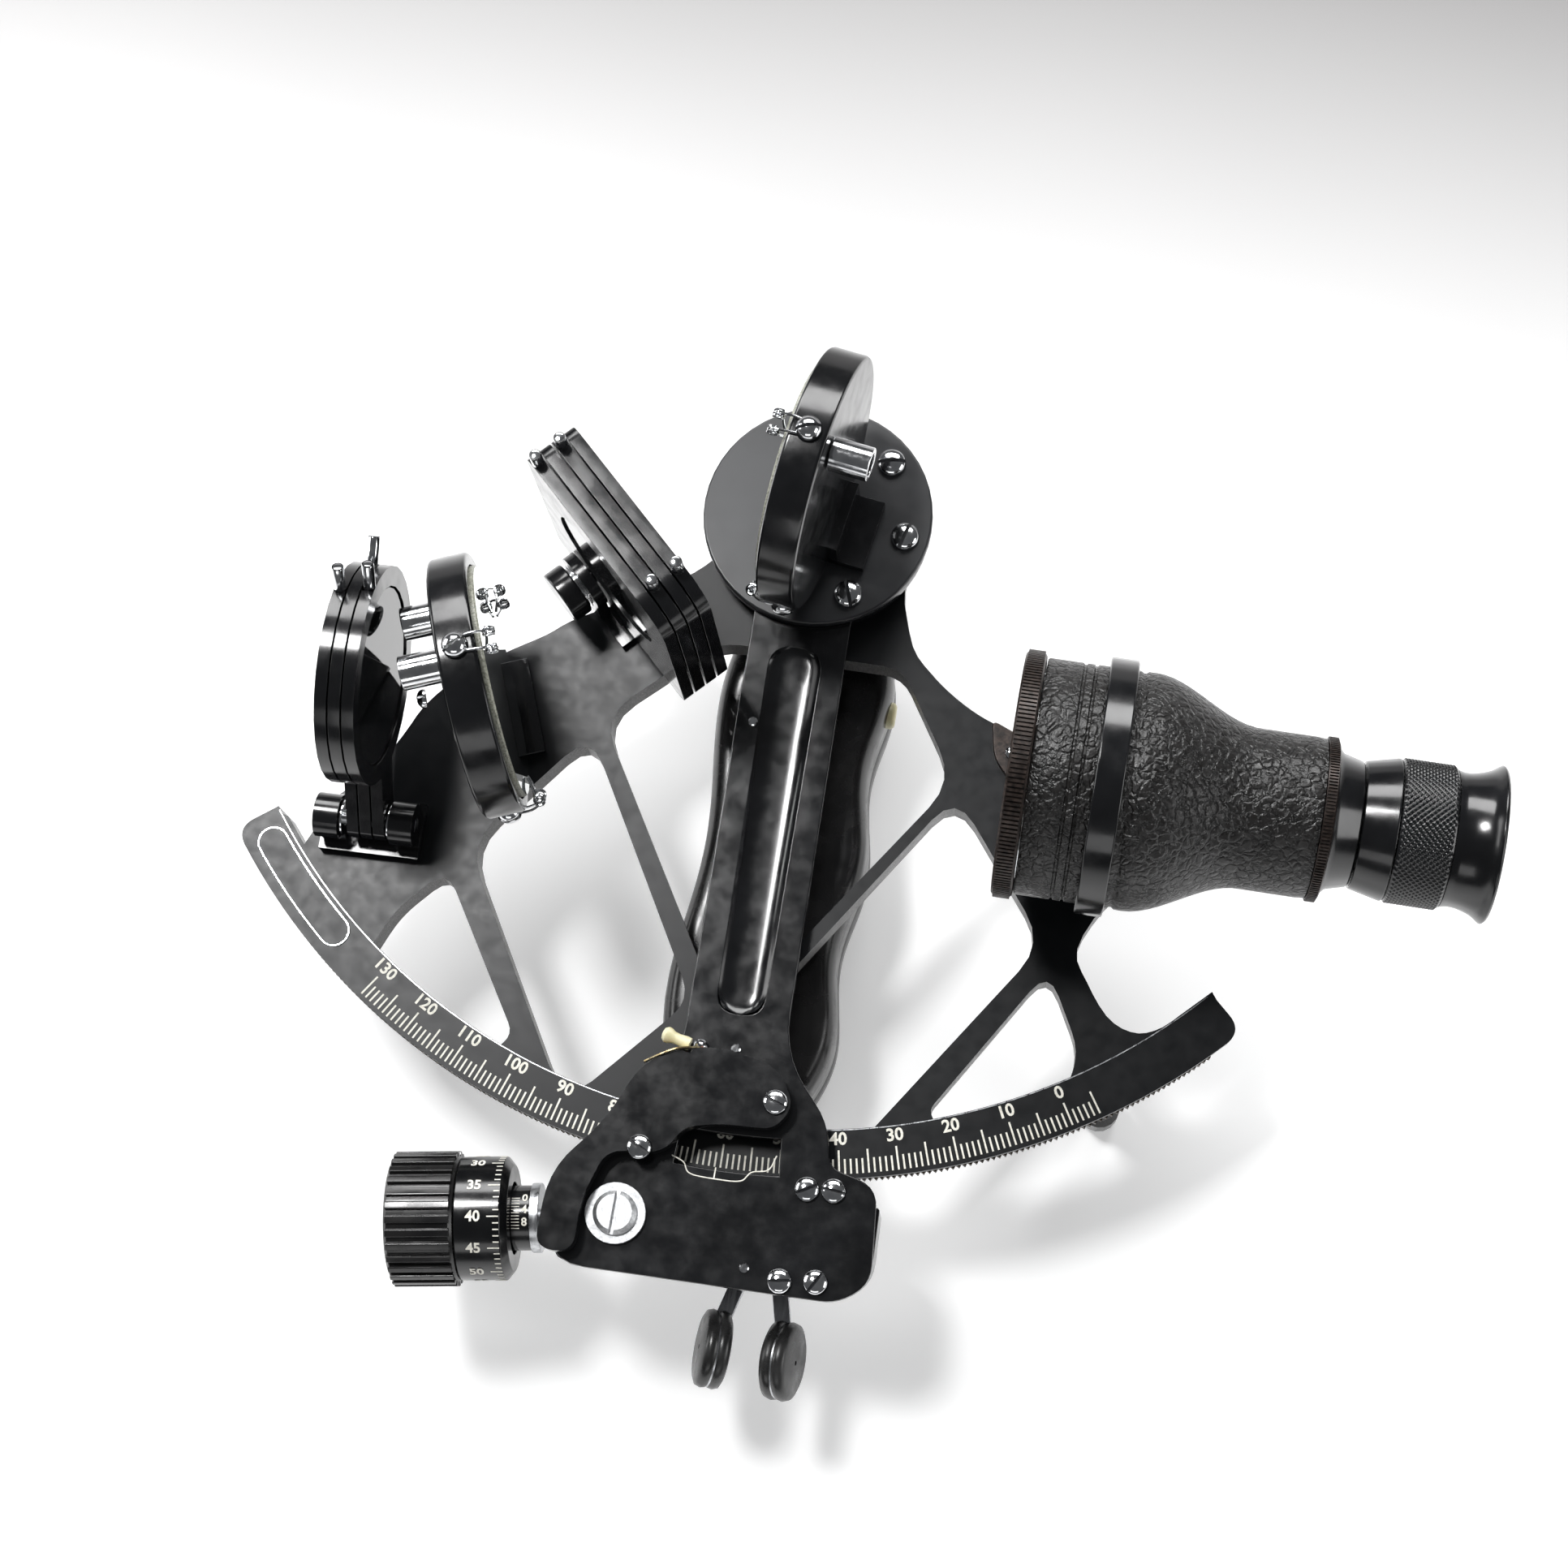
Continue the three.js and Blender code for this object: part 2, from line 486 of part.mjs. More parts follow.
// The base runs beside the plates, clear of the corners that swing past it.
function indexShadeBracket() {
  const bottom = GAP - INDEX_SHADE.height;
  const foot = bottom + 2.2;
  const cheek = block(-6, 6, bottom, 0, -3.2, -GAP).add(rod(7.5, -3.2, -GAP, 24));
  const farCheek = block(-6, 6, bottom, 4.5, 13.6, 16.3);
  const toes = block(-15, -5, bottom, foot, -3.2, -GAP).add(block(-15, -5, bottom, foot, 13.6, 16.3));
  const base = block(-15, -10.4, bottom, foot, -3.2, 16.3);
  return cheek.add(farCheek).add(toes).add(base).subtract(rod(2.3, -10, 20, 16));
}
add('index_shade_bracket', indexShaft(indexShadeBracket()), 'gloss');
add('index_shade_knob', indexShaft(rod(2, -5, 16.1, 16).add(rod(6.9, -9.5, -4.5, 24))), 'gloss');

// ---------------------------------------------------------------- index arm
const armAngle = (MARKS_AT_MIDDLE - READING) / 2;
const turnArm = (made) => solid(geometryOf(made).rotateZ(armAngle * RAD));

// The arm's outline with the arm pointing straight down -Y.
const ARM_FOOT = [[ARM_HALF, -134, 10], [25.4, -149, 6], [26.4, -158.6, 3.5], [38.6, -161.6, 5],
  [40.3, -184, 4.5], [33, -189.5, 4], [-35.5, -190, 9], [-38, -170, 8], [-27.5, -157, 8],
  [-ARM_HALF, -136, 6]];

function armBlade() {
  const foot = rounded([[ARM_HALF, -20, 0.1], ...ARM_FOOT, [-ARM_HALF, -20, 0.1]]);
  let blade = extruded(foot, ARM_BOTTOM, ARM_TOP, 5);
  blade = blade.add(rod(HUB_RADIUS, ARM_BOTTOM, ARM_TOP, 48));
  const trough = rounded([[-6.4, -34, 6], [6.4, -34, 6], [5.6, -126, 5], [-5.6, -126, 5]]);
  blade = blade.subtract(extruded(trough, ARM_TOP - 1.4, ARM_TOP + 1, 6));
  const window = sector(154.5, 163.2, -93.4, -84.6);
  blade = blade.subtract(extruded(window, 0, ARM_TOP + 1, 8));
  return blade.subtract(moved(rod(3.4, 0, 10, 20), [-21.1, -176.7, 0]));
}
add('index_arm', turnArm(armBlade()), 'gloss');
add('arm_journal', rod(6, -19, ARM_BOTTOM - GAP, 32), 'steel');
add('mirror_base_disc', rod(DISC_RADIUS, ARM_TOP + GAP, DISC_TOP, 48), 'gloss');

// ---------------------------------------------------------------- micrometer
const COVER_LOW = ARM_TOP + GAP;
const COVER_HIGH = COVER_LOW + 5.2;
const COVER = [[-38, -187.6, 4.4], [-37.5, -169, 8], [-26.5, -156.5, 8], [-20, -140.5, 7], [-5, -134.5, 8],
  [12, -138, 5], [16.8, -146.5, 3.5], [13, -152.5, 3], [0, -153, 4], [-8, -155, 3], [-11.5, -161.5, 4],
  [-25, -163, 4], [-29, -175, 4], [-28.8, -187.6, 4.4]];
const coverShape = rounded(COVER);
const onLamp = (made) => moved(made, [-7.4, -135.5, ARM_TOP + 3.2], [-1, 0.25, 0]);
const coverPlate = turnArm(extruded(coverShape, COVER_LOW, COVER_HIGH, 5));
add('micrometer_cover', coverPlate.subtract(onLamp(rod(3.2, -1, 12, 16))), 'gloss');

const wormDirection = flatDirection(WORM_ANGLE);
// In the worm's own frame Z runs along the shaft from the knob's end, Y is up and X points to the arc.
const onWorm = (made) => moved(made, [KNOB_END.x, KNOB_END.y, WORM_HEIGHT], wormDirection);

// A ribbed grip: the outline steps out over each rib.
function knob() {
  const ribs = 30;
  const shape = new THREE.Shape();
  for (let i = 0; i < ribs; i += 1) {
    [[15, 0.05], [16, 0.2], [16, 0.8], [15, 0.95]].forEach(([radius, part], corner) => {
      const turn = (i + part) * 2 * Math.PI / ribs;
      const point = [radius * Math.cos(turn), radius * Math.sin(turn)];
      if (i + corner === 0) shape.moveTo(...point);
      else shape.lineTo(...point);
    });
  }
  shape.closePath();
  return extruded(shape, 2.2, 18.5, 1).subtract(rod(12.5, 1, 3.7, 32));
}
add('micrometer_knob', onWorm(knob()), 'plastic');
add('micrometer_drum', onWorm(turned([[3, 18.8], [14.6, 18.8], [14.6, 29.6], [12.6, 31.2], [8.6, 31.2],
  [8.6, 24.2], [3, 24.2], [3, 18.8]], 36)), 'gloss');
add('vernier_sleeve', onWorm(turned([[2.5, 25.2], [7.7, 25.2], [7.7, 35.5], [8.3, 35.5], [8.3, 37.8],
  [2.5, 37.8], [2.5, 25.2]], 28)), 'steel');
add('worm_shaft', onWorm(turned([[0, 18.9], [2.2, 18.9], [2.2, 94], [7, 95], [7, 105.4], [2.2, 106.2],
  [2.2, 110], [0, 110]], 24)), 'steel');

// The carriage: two bars behind the shaft and the worm, with bearing ears and a lug for the pivot screw.
const PIVOT_SCREW = [-18.2, -177];
const PIVOT_ON_WORM = [-0.24, 0, 56.6];
function carriage() {
  const bars = block(-6.8, -4.4, -5, 6.4, 42, 91).add(block(-10.5, -7.4, -5, 6.4, 86, 110));
  const ears = [[-6.8, 42, 46.5], [-10.5, 86, 91], [-10.5, 106.6, 110]].map(([back, from, to]) =>
    block(back, 4.5, -5, 4.4, from, to));
  const lug = block(-6.8, 5.5, 3, 6.4, 50, 63.5);
  const body = ears.reduce((made, ear) => made.add(ear), bars.add(lug));
  const screwHole = moved(rod(2.1, -20, 20, 16), PIVOT_ON_WORM, [0, 1, 0]);
  return body.subtract(rod(2.5, 30, 130, 20)).subtract(screwHole);
}
add('worm_carriage', onWorm(carriage()), 'casting');

const pivotProfile = [[0, -2.3], [1.8, -2.3], [1.8, ARM_TOP + GAP], [7.2, ARM_TOP + GAP],
  [7.2, ARM_TOP + 1.1], [5.2, ARM_TOP + 1.1], [5.2, ARM_TOP + 1.9], [4.2, ARM_TOP + 2.9],
  [0, ARM_TOP + 2.9]];
const pivotSlot = block(-0.55, 0.55, -6, 6, ARM_TOP + 1.7, ARM_TOP + 5);
const pivotScrew = turned(pivotProfile, 28).subtract(pivotSlot);
add('carriage_pivot_screw', moved(pivotScrew, [...PIVOT_SCREW, 0]), 'chrome');

// The housing under the arm's foot: a floor with a wall round three sides, open towards the arc.
function housing() {
  const outer = rounded([[39.7, -166, 1], [40, -182.5, 5], [32.4, -188.3, 4], [-34.5, -188.8, 3],
    [-34.5, -172, 2], [-20, -167.5, 2]]);
  const floor = extruded(outer, -14.2, -12.4, 5);
  const skin = extruded(outer, -14.2, ARM_BOTTOM - GAP, 5);
  const inner = rounded([[38, -150, 1], [38.3, -181.8, 4], [31.8, -186.6, 4], [-50, -187.2, 1],
    [-50, -150, 1]]);
  return floor.add(skin.subtract(extruded(inner, -20, 5, 5)));
}
add('micrometer_housing', turnArm(housing()), 'gloss');

// Two levers hang below the housing. Squeezing their pads together swings the worm clear of the rack.
const LEVER = {
  middle: 16.2, low: -17, high: -14.6, pivotY: -181, padY: -203, spread: 2.6, padSpread: 8.5, half: 2,
};

function leverStrap(side, grow) {
  const pivot = side * LEVER.spread;
  const pad = side * LEVER.padSpread;
  const wide = LEVER.half + grow;
  const top = LEVER.pivotY + 4 + grow;
  const bottom = LEVER.padY + 3 - grow;
  const outline = rounded([[pivot - wide, top, 1.5], [pivot + wide, top, 1.5], [pad + wide, bottom, 1],
    [pad - wide, bottom, 1]]);
  return extruded(outline, LEVER.low - grow, LEVER.high + grow, 4);
}

function leverPad(side) {
  const puck = turned([[0, -3.4], [8.2, -3.4], [9.4, -2.2], [9.4, 2.2], [8.2, 3.4], [0, 3.4]], 28);
  const placed = moved(puck, [side * LEVER.padSpread, LEVER.padY, -15], [1, 0, side * 0.25]);
  return placed.subtract(leverStrap(side, GAP));
}

for (const [name, side] of [['left', -1], ['right', 1]]) {
  const place = (made) => moved(made, [LEVER.middle, 0, 0]);
  add(`release_lever_${name}`, place(leverStrap(side, 0)), 'steel');
  add(`release_pad_${name}`, place(leverPad(side)), 'rubber');
}

// ---------------------------------------------------------------- lamp over the arc
add('lamp_bulb', onLamp(turned([[0, 0], [2.6, 0], [2.6, 4.5], [1.8, 6.6], [0, 7.4]], 16)), 'ivory');

// ---------------------------------------------------------------- origin
const box = new THREE.Box3().setFromObject(group);
const middle = box.getCenter(new THREE.Vector3());
group.position.set(-middle.x, -middle.y, -box.min.z);

export default group;
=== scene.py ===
import json
import math

import bmesh
import bpy
from mathutils import Matrix, Vector


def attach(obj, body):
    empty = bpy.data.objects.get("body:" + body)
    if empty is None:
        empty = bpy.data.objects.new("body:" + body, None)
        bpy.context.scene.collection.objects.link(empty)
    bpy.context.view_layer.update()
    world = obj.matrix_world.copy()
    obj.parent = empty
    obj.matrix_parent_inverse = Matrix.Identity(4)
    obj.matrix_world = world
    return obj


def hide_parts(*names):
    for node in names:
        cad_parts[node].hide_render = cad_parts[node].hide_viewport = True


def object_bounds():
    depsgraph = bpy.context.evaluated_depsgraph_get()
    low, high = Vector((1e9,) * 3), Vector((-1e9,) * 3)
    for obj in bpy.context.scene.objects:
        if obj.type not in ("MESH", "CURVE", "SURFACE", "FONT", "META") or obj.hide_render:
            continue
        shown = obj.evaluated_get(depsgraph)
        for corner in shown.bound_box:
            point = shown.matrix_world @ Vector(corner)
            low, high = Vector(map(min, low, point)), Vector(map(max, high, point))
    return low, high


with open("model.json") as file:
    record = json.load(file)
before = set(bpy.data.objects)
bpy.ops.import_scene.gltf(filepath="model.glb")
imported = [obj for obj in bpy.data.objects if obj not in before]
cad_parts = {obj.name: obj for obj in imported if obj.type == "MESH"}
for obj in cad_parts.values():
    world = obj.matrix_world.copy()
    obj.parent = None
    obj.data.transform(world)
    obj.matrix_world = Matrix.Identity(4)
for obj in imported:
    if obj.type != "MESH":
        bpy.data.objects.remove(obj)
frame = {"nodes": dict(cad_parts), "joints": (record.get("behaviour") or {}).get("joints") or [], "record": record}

cad_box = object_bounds()

# A micrometer sextant lying on its three legs. Lengths are in millimetres from the index arm's pivot
# at the height of the graduated face, and MM turns them into the frame's metres. Lights and camera
# settings are in metres. Angles are in degrees.
MM = 0.001
JOINTS = {joint["name"]: joint for joint in frame["joints"]}
PIVOT = Vector(JOINTS["arm_swing"]["pos_m"])

ARM_TURN = 0.95
ARM_TOP = 6.0
COVER_TOP = 11.5
DISC_TOP = 9.0
LIMB_INNER = 151.3
TICK_OUTER = 161.9
ARC_FIGURE_RADIUS = 153.7
MARKS_AT_MIDDLE = 62.5
ENGRAVING_DEPTH = 0.04
FIGURE_DEPTH = 0.03
CAPITAL_PER_SIZE = 0.7
MIRROR_RADIUS = 31.0
GLASS_RADIUS = 27.6
AXIS_HEIGHT = 40.0
TELESCOPE_Y = -66.4
KNURL_TEETH = 72
WORM_ANGLE = 9.9
DRUM_RADIUS = 14.6
VERNIER_RADIUS = 7.7
KNOB_END = (-74.0, -186.5, -5.0)
INDEX_FACE = (-3.15, -1.69, AXIS_HEIGHT)
HORIZON_FACE = (-63.78, -62.99, AXIS_HEIGHT)
INDEX_NORMAL = 171.3
HORIZON_NORMAL = 21.6


# ------------------------------------------------------------------------------------ geometry
# A part is (vertices, faces) in millimetres.

def flat_direction(degrees):
    turn = math.radians(degrees)
    return Vector((math.cos(turn), math.sin(turn), 0))


def placed(position, direction=(0, 0, 1), up=(0, 0, 1), spin=0.0):
    """A local frame: Z along direction, Y as near to up as it can be, turned by spin about Z."""
    z = Vector(direction).normalized()
    y = Vector(up)
    if abs(z.dot(y)) > 0.99:
        y = Vector((0, 1, 0))
    x = y.cross(z).normalized()
    y = z.cross(x)
    turn = Matrix((x, y, z)).transposed().to_4x4()
    return Matrix.Translation(Vector(position)) @ turn @ Matrix.Rotation(math.radians(spin), 4, "Z")


def moved(part, matrix):
    vertices, faces = part
    return [matrix @ Vector(v) for v in vertices], faces


def joined(*parts):
    vertices, faces = [], []
    for part in parts:
        start = len(vertices)
        vertices.extend(part[0])
        faces.extend([[start + i for i in face] for face in part[1]])
    return vertices, faces


def lathe(profile, segments=96, ripple=None):
    """Turns [radius, height] points about Z. ripple(angle, radius, height) may change the radius."""
    vertices, faces, rings = [], [], []
    for radius, height in profile:
        if radius == 0:
            rings.append([len(vertices)])
            vertices.append(Vector((0, 0, height)))
            continue
        ring = []
        for i in range(segments):
            angle = 2 * math.pi * i / segments
            r = ripple(angle, radius, height) if ripple else radius
            ring.append(len(vertices))
            vertices.append(Vector((r * math.cos(angle), r * math.sin(angle), height)))
        rings.append(ring)
    for low, high in zip(rings, rings[1:]):
        for i in range(segments):
            j = (i + 1) % segments
            if len(low) == 1 and len(high) == 1:
                continue
            if len(low) == 1:
                faces.append([low[0], high[j], high[i]])
            elif len(high) == 1:
                faces.append([low[i], low[j], high[0]])
            else:
                faces.append([low[i], low[j], high[j], high[i]])
    return vertices, faces


def ring_of(profile, segments=96, ripple=None):
    """A closed profile turned about Z."""
    return lathe([*profile, profile[0]], segments, ripple)


def prism(outline, low, high):
    count = len(outline)
    vertices = [Vector((x, y, low)) for x, y in outline] + [Vector((x, y, high)) for x, y in outline]
    faces = [[i, (i + 1) % count, count + (i + 1) % count, count + i] for i in range(count)]
    faces.append(list(range(count))[::-1])
    faces.append([count + i for i in range(count)])
    return vertices, faces


def box(x0, x1, y0, y1, z0, z1):
    return prism([(x0, y0), (x1, y0), (x1, y1), (x0, y1)], z0, z1)


def sweep(path, radius, sides=8):
    """A round wire along a path of points."""
    points = [Vector(p) for p in path]
    vertices, faces = [], []
    side = None
    for i, point in enumerate(points):
        ahead = (points[min(i + 1, len(points) - 1)] - points[max(i - 1, 0)]).normalized()
        if side is None:
            side = ahead.orthogonal().normalized()
        side = (side - ahead * side.dot(ahead)).normalized()
        other = ahead.cross(side)
        for k in range(sides):
            angle = 2 * math.pi * k / sides
            vertices.append(point + radius * (math.cos(angle) * side + math.sin(angle) * other))
    for i in range(len(points) - 1):
        for k in range(sides):
            j = (k + 1) % sides
            faces.append([i * sides + k, i * sides + j, (i + 1) * sides + j, (i + 1) * sides + k])
    faces.append(list(range(sides))[::-1])
    last = (len(points) - 1) * sides
    faces.append([last + k for k in range(sides)])
    return vertices, faces


def smooth_path(points, steps=8):
    """A Catmull-Rom curve through a few points."""
    control = [Vector(p) for p in points]
    control = [2 * control[0] - control[1], *control, 2 * control[-1] - control[-2]]
    path = []
    for a, b, c, d in zip(control, control[1:], control[2:], control[3:]):
        for i in range(steps):
            t = i / steps
            path.append(0.5 * (2 * b + (c - a) * t + (2 * a - 5 * b + 4 * c - d) * t * t
                               + (3 * b - a - 3 * c + d) * t ** 3))
    path.append(control[-2])
    return path


def arc(x, y, radius, start, end, steps=12):
    turns = [math.radians(start + (end - start) * i / steps) for i in range(steps + 1)]
    return [(x + radius * math.cos(t), y + radius * math.sin(t)) for t in turns]


def rounded(corners, steps=6):
    """An outline through corners given as (x, y, radius)."""
    outline = []
    count = len(corners)
    for i, (x, y, radius) in enumerate(corners):
        corner = Vector((x, y))
        before = Vector(corners[i - 1][:2]) - corner
        after = Vector(corners[(i + 1) % count][:2]) - corner
        start = corner + before.normalized() * radius
        end = corner + after.normalized() * radius
        for k in range(steps + 1):
            t = k / steps
            point = start * (1 - t) ** 2 + corner * 2 * t * (1 - t) + end * t * t
            outline.append((point.x, point.y))
    return outline


def clipped(part, point, normal):
    """Cuts a closed part by a plane, keeping the side behind the normal, and closes it."""
    mesh = bmesh.new()
    vertices = [mesh.verts.new(v) for v in part[0]]
    for face in part[1]:
        mesh.faces.new([vertices[i] for i in face])
    everything = [*mesh.verts, *mesh.edges, *mesh.faces]
    cut = bmesh.ops.bisect_plane(
        mesh, geom=everything, plane_co=point, plane_no=normal, clear_outer=True)
    edges = [e for e in cut["geom_cut"] if isinstance(e, bmesh.types.BMEdge)]
    bmesh.ops.edgeloop_fill(mesh, edges=edges)
    mesh.verts.index_update()
    kept = [v.co.copy() for v in mesh.verts], [[v.index for v in f.verts] for f in mesh.faces]
    mesh.free()
    return kept


def sector(inner, outer, start, end, low, high, steps=60):
    outline = arc(0, 0, outer, start, end, steps) + arc(0, 0, inner, end, start, steps)
    return prism(outline, low, high)


def turned(part, degrees):
    """A part turned about Z."""
    return moved(part, Matrix.Rotation(math.radians(degrees), 4, "Z"))


def around(part, count):
    """Copies of a part, evenly spaced about Z."""
    return [moved(part, Matrix.Rotation(2 * math.pi * i / count, 4, "Z")) for i in range(count)]


# ------------------------------------------------------------------------------------- pieces
WELD_METRES = 1e-7


def make(name, part, material, body, replaces=(), where=None, crease=35, bevel=0.0,
         dark_faces=0):
    """A finished piece from a part in millimetres, smooth but for edges sharper than crease.

    The last dark_faces faces take a painted shade, the dark floor of a screw slot."""
    if where is not None:
        part = moved(part, where)
    mesh = bpy.data.meshes.new(name)
    mesh.from_pydata([PIVOT + v * MM for v in part[0]], [], part[1])
    if dark_faces:
        mesh.materials.append(material)
        # Painted shade: the screw's base, seen as the slot's floor, is coloured dark.
        mesh.materials.append(SLOT_PAINTED_SHADE)
        for face in mesh.polygons[len(part[1]) - dark_faces:]:
            face.material_index = 1
    shaped = bmesh.new()
    shaped.from_mesh(mesh)
    bmesh.ops.remove_doubles(shaped, verts=shaped.verts, dist=WELD_METRES)
    bmesh.ops.recalc_face_normals(shaped, faces=shaped.faces)
    for face in shaped.faces:
        face.smooth = True
    for edge in shaped.edges:
        edge.smooth = len(edge.link_faces) != 2 or edge.calc_face_angle() < math.radians(crease)
    shaped.to_mesh(mesh)
    shaped.free()
    if not dark_faces:
        mesh.materials.append(material)
    piece = bpy.data.objects.new(name, mesh)
    bpy.context.scene.collection.objects.link(piece)
    if bevel:
        add_bevel(piece, bevel, 2)
    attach(piece, body)
    if replaces:
        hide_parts(*replaces)


def add_bevel(piece, width, segments):
    bevel = piece.modifiers.new("edges", "BEVEL")
    bevel.width = width * MM
    bevel.segments = segments
    bevel.limit_method = "ANGLE"
    bevel.angle_limit = math.radians(30)
    normals = piece.modifiers.new("normals", "WEIGHTED_NORMAL")
    normals.keep_sharp = False


def written(text, height, matrix):
    """Figures as a thin mesh part, centred on the matrix's origin and reading along its X."""
    curve = bpy.data.curves.new("figures", "FONT")
    curve.body = text
    curve.size = height / CAPITAL_PER_SIZE
    curve.align_x = "CENTER"
    curve.align_y = "CENTER"
    curve.extrude = FIGURE_DEPTH
    curve.offset = 0.035 * height
    curve.resolution_u = 3
    holder = bpy.data.objects.new("figures", curve)
    bpy.context.scene.collection.objects.link(holder)
    shape = holder.evaluated_get(bpy.context.evaluated_depsgraph_get())
    mesh = bpy.data.meshes.new_from_object(shape)
    part = [matrix @ v.co for v in mesh.vertices], [list(p.vertices) for p in mesh.polygons]
    bpy.data.objects.remove(holder)
    bpy.data.meshes.remove(mesh)
    bpy.data.curves.remove(curve)
    return part


# ---------------------------------------------------------------------------------- materials
class Surface:
    """A principled material whose colour, roughness and relief come from noise in object space."""

    def __init__(self, name, **constants):
        self.material = bpy.data.materials.new(name)
        self.material.use_nodes = True
        self.tree = self.material.node_tree
        self.shader = self.tree.nodes["Principled BSDF"]
        for socket, value in constants.items():
            self.shader.inputs[socket.replace("_", " ")].default_value = value
        self.coordinates = self.tree.nodes.new("ShaderNodeTexCoord")
        self.height = None

    def node(self, kind, **settings):
        made = self.tree.nodes.new("ShaderNode" + kind)
        for key, value in settings.items():
            setattr(made, key, value)
        return made

    def link(self, start, end):
        self.tree.links.new(start, end)

    def stretched(self, scale):
        mapping = self.node("Mapping")
        mapping.inputs["Scale"].default_value = scale
        self.link(self.coordinates.outputs["Object"], mapping.inputs["Vector"])
        return mapping.outputs["Vector"]

    def noise(self, per_metre, detail=3.0, rough=0.5, vector=None, output="Fac"):
        made = self.node("TexNoise")
        made.inputs["Scale"].default_value = per_metre
        made.inputs["Detail"].default_value = detail
        made.inputs["Roughness"].default_value = rough
        self.link(vector or self.coordinates.outputs["Object"], made.inputs["Vector"])
        return made.outputs[output]

    def mapped(self, value, low, high, start=0.3, end=0.7):
        made = self.node("MapRange")
        made.inputs["From Min"].default_value = start
        made.inputs["From Max"].default_value = end
        made.inputs["To Min"].default_value = low
        made.inputs["To Max"].default_value = high
        self.link(value, made.inputs["Value"])
        return made.outputs["Result"]

    def mixed(self, share, first, second):
        """The first colour where share is 0, the second where it is 1."""
        mix = self.node("MixRGB")
        self.link(share, mix.inputs["Fac"])
        self.link(first, mix.inputs["Color1"])
        self.link(second, mix.inputs["Color2"])
        return mix.outputs["Color"]

    def blended(self, value, dark, light, start=0.35, end=0.65):
        ramp = self.node("ValToRGB")
        ramp.color_ramp.elements[0].position = start
        ramp.color_ramp.elements[1].position = end
        ramp.color_ramp.elements[0].color = (*dark, 1)
        ramp.color_ramp.elements[1].color = (*light, 1)
        self.link(value, ramp.inputs["Fac"])
        return ramp.outputs["Color"]

    def colour(self, value, dark, light, start=0.35, end=0.65):
        self.link(self.blended(value, dark, light, start, end), self.shader.inputs["Base Color"])

    def roughness(self, value, low, high):
        self.link(self.mapped(value, low, high), self.shader.inputs["Roughness"])

    def relief(self, value, depth_mm, strength=1.0):
        bump = self.node("Bump")
        bump.inputs["Strength"].default_value = strength
        bump.inputs["Distance"].default_value = depth_mm * MM
        self.link(value, bump.inputs["Height"])
        if self.height is not None:
            self.link(self.height, bump.inputs["Normal"])
        self.height = bump.outputs["Normal"]
        self.link(self.height, self.shader.inputs["Normal"])


def casting_material():
    """Satin black coat, with painted sheen: the upright walls of the casting are coloured grey because of the way
    their faces point.
    """
    s = Surface("satin_black_coat", Roughness=0.33, Specular_IOR_Level=0.3)
    coat = s.blended(s.noise(90), (0.0032, 0.0037, 0.0046), (0.0054, 0.0060, 0.0072))
    # Painted sheen: faces that stand upright are coloured grey and the tops near-black, chosen by the faces'
    # direction.
    painted_wall_sheen = s.blended(s.noise(2600, 4, 0.7), (0.045, 0.045, 0.046), (0.24, 0.235, 0.23), 0.42, 0.7)
    geometry = s.node("NewGeometry")
    parts = s.node("SeparateXYZ")
    s.link(geometry.outputs["True Normal"], parts.inputs["Vector"])
    upright = s.node("Math", operation="ABSOLUTE")
    s.link(parts.outputs["Z"], upright.inputs[0])
    wall_sheen_mask = s.mapped(upright.outputs["Value"], 1.0, 0.0, 0.2, 0.5)
    s.link(s.mixed(wall_sheen_mask, coat, painted_wall_sheen), s.shader.inputs["Base Color"])
    s.roughness(s.noise(300, 4), 0.29, 0.38)
    s.relief(s.noise(3000, 3), 0.015, 0.25)
    return s.material


def enamel_material(name, dark, light, smoothest, roughest):
    s = Surface(name, Roughness=0.2, Specular_IOR_Level=0.5, Coat_Weight=0.15, Coat_Roughness=0.1)
    s.colour(s.noise(60), (dark, dark * 1.05, dark * 1.2), (light, light * 1.05, light * 1.2))
    s.roughness(s.noise(220, 4), smoothest, roughest)
    s.relief(s.noise(5200, 2), 0.003, 0.08)
    return s.material


def leather_material():
    """Pebbled leatherette: crinkled cells with fine creases, painted darker in the creases as painted shade and
    lighter on the cell tops.
    """
    s = Surface("pebbled_leatherette", Roughness=0.45, Specular_IOR_Level=0.5)
    shift = s.node("VectorMath", operation="SCALE")
    shift.inputs["Scale"].default_value = 0.0045
    s.link(s.noise(260, 4, output="Color"), shift.inputs[0])
    bent = s.node("VectorMath", operation="ADD")
    s.link(s.coordinates.outputs["Object"], bent.inputs[0])
    s.link(shift.outputs["Vector"], bent.inputs[1])
    cells = s.node("TexVoronoi", feature="DISTANCE_TO_EDGE")
    cells.inputs["Scale"].default_value = 430
    s.link(bent.outputs["Vector"], cells.inputs["Vector"])
    pebbles = s.mapped(cells.outputs["Distance"], 0.0, 1.0, 0.0, 0.22)
    # Painted shade: the creases between the pebbles are coloured darker than the pebble tops.
    s.colour(pebbles, (0.003, 0.0027, 0.0026), (0.009, 0.0082, 0.0078), 0.1, 0.8)
    s.roughness(s.noise(700, 4), 0.24, 0.44)
    s.relief(s.noise(330, 5, 0.6), 0.5, 0.6)
    s.relief(pebbles, 0.22, 0.85)
    s.relief(s.noise(2600, 4), 0.05, 0.4)
    return s.material


def steel_material():
    """Brushed steel: the grain runs one way."""
    s = Surface("brushed_steel", Metallic=1.0, Roughness=0.3)
    grain = s.noise(900, 4, 0.6, s.stretched((1, 0.06, 1)))
    s.colour(grain, (0.36, 0.37, 0.385), (0.62, 0.63, 0.645))
    s.roughness(grain, 0.22, 0.4)
    s.relief(grain, 0.01, 0.3)
    return s.material


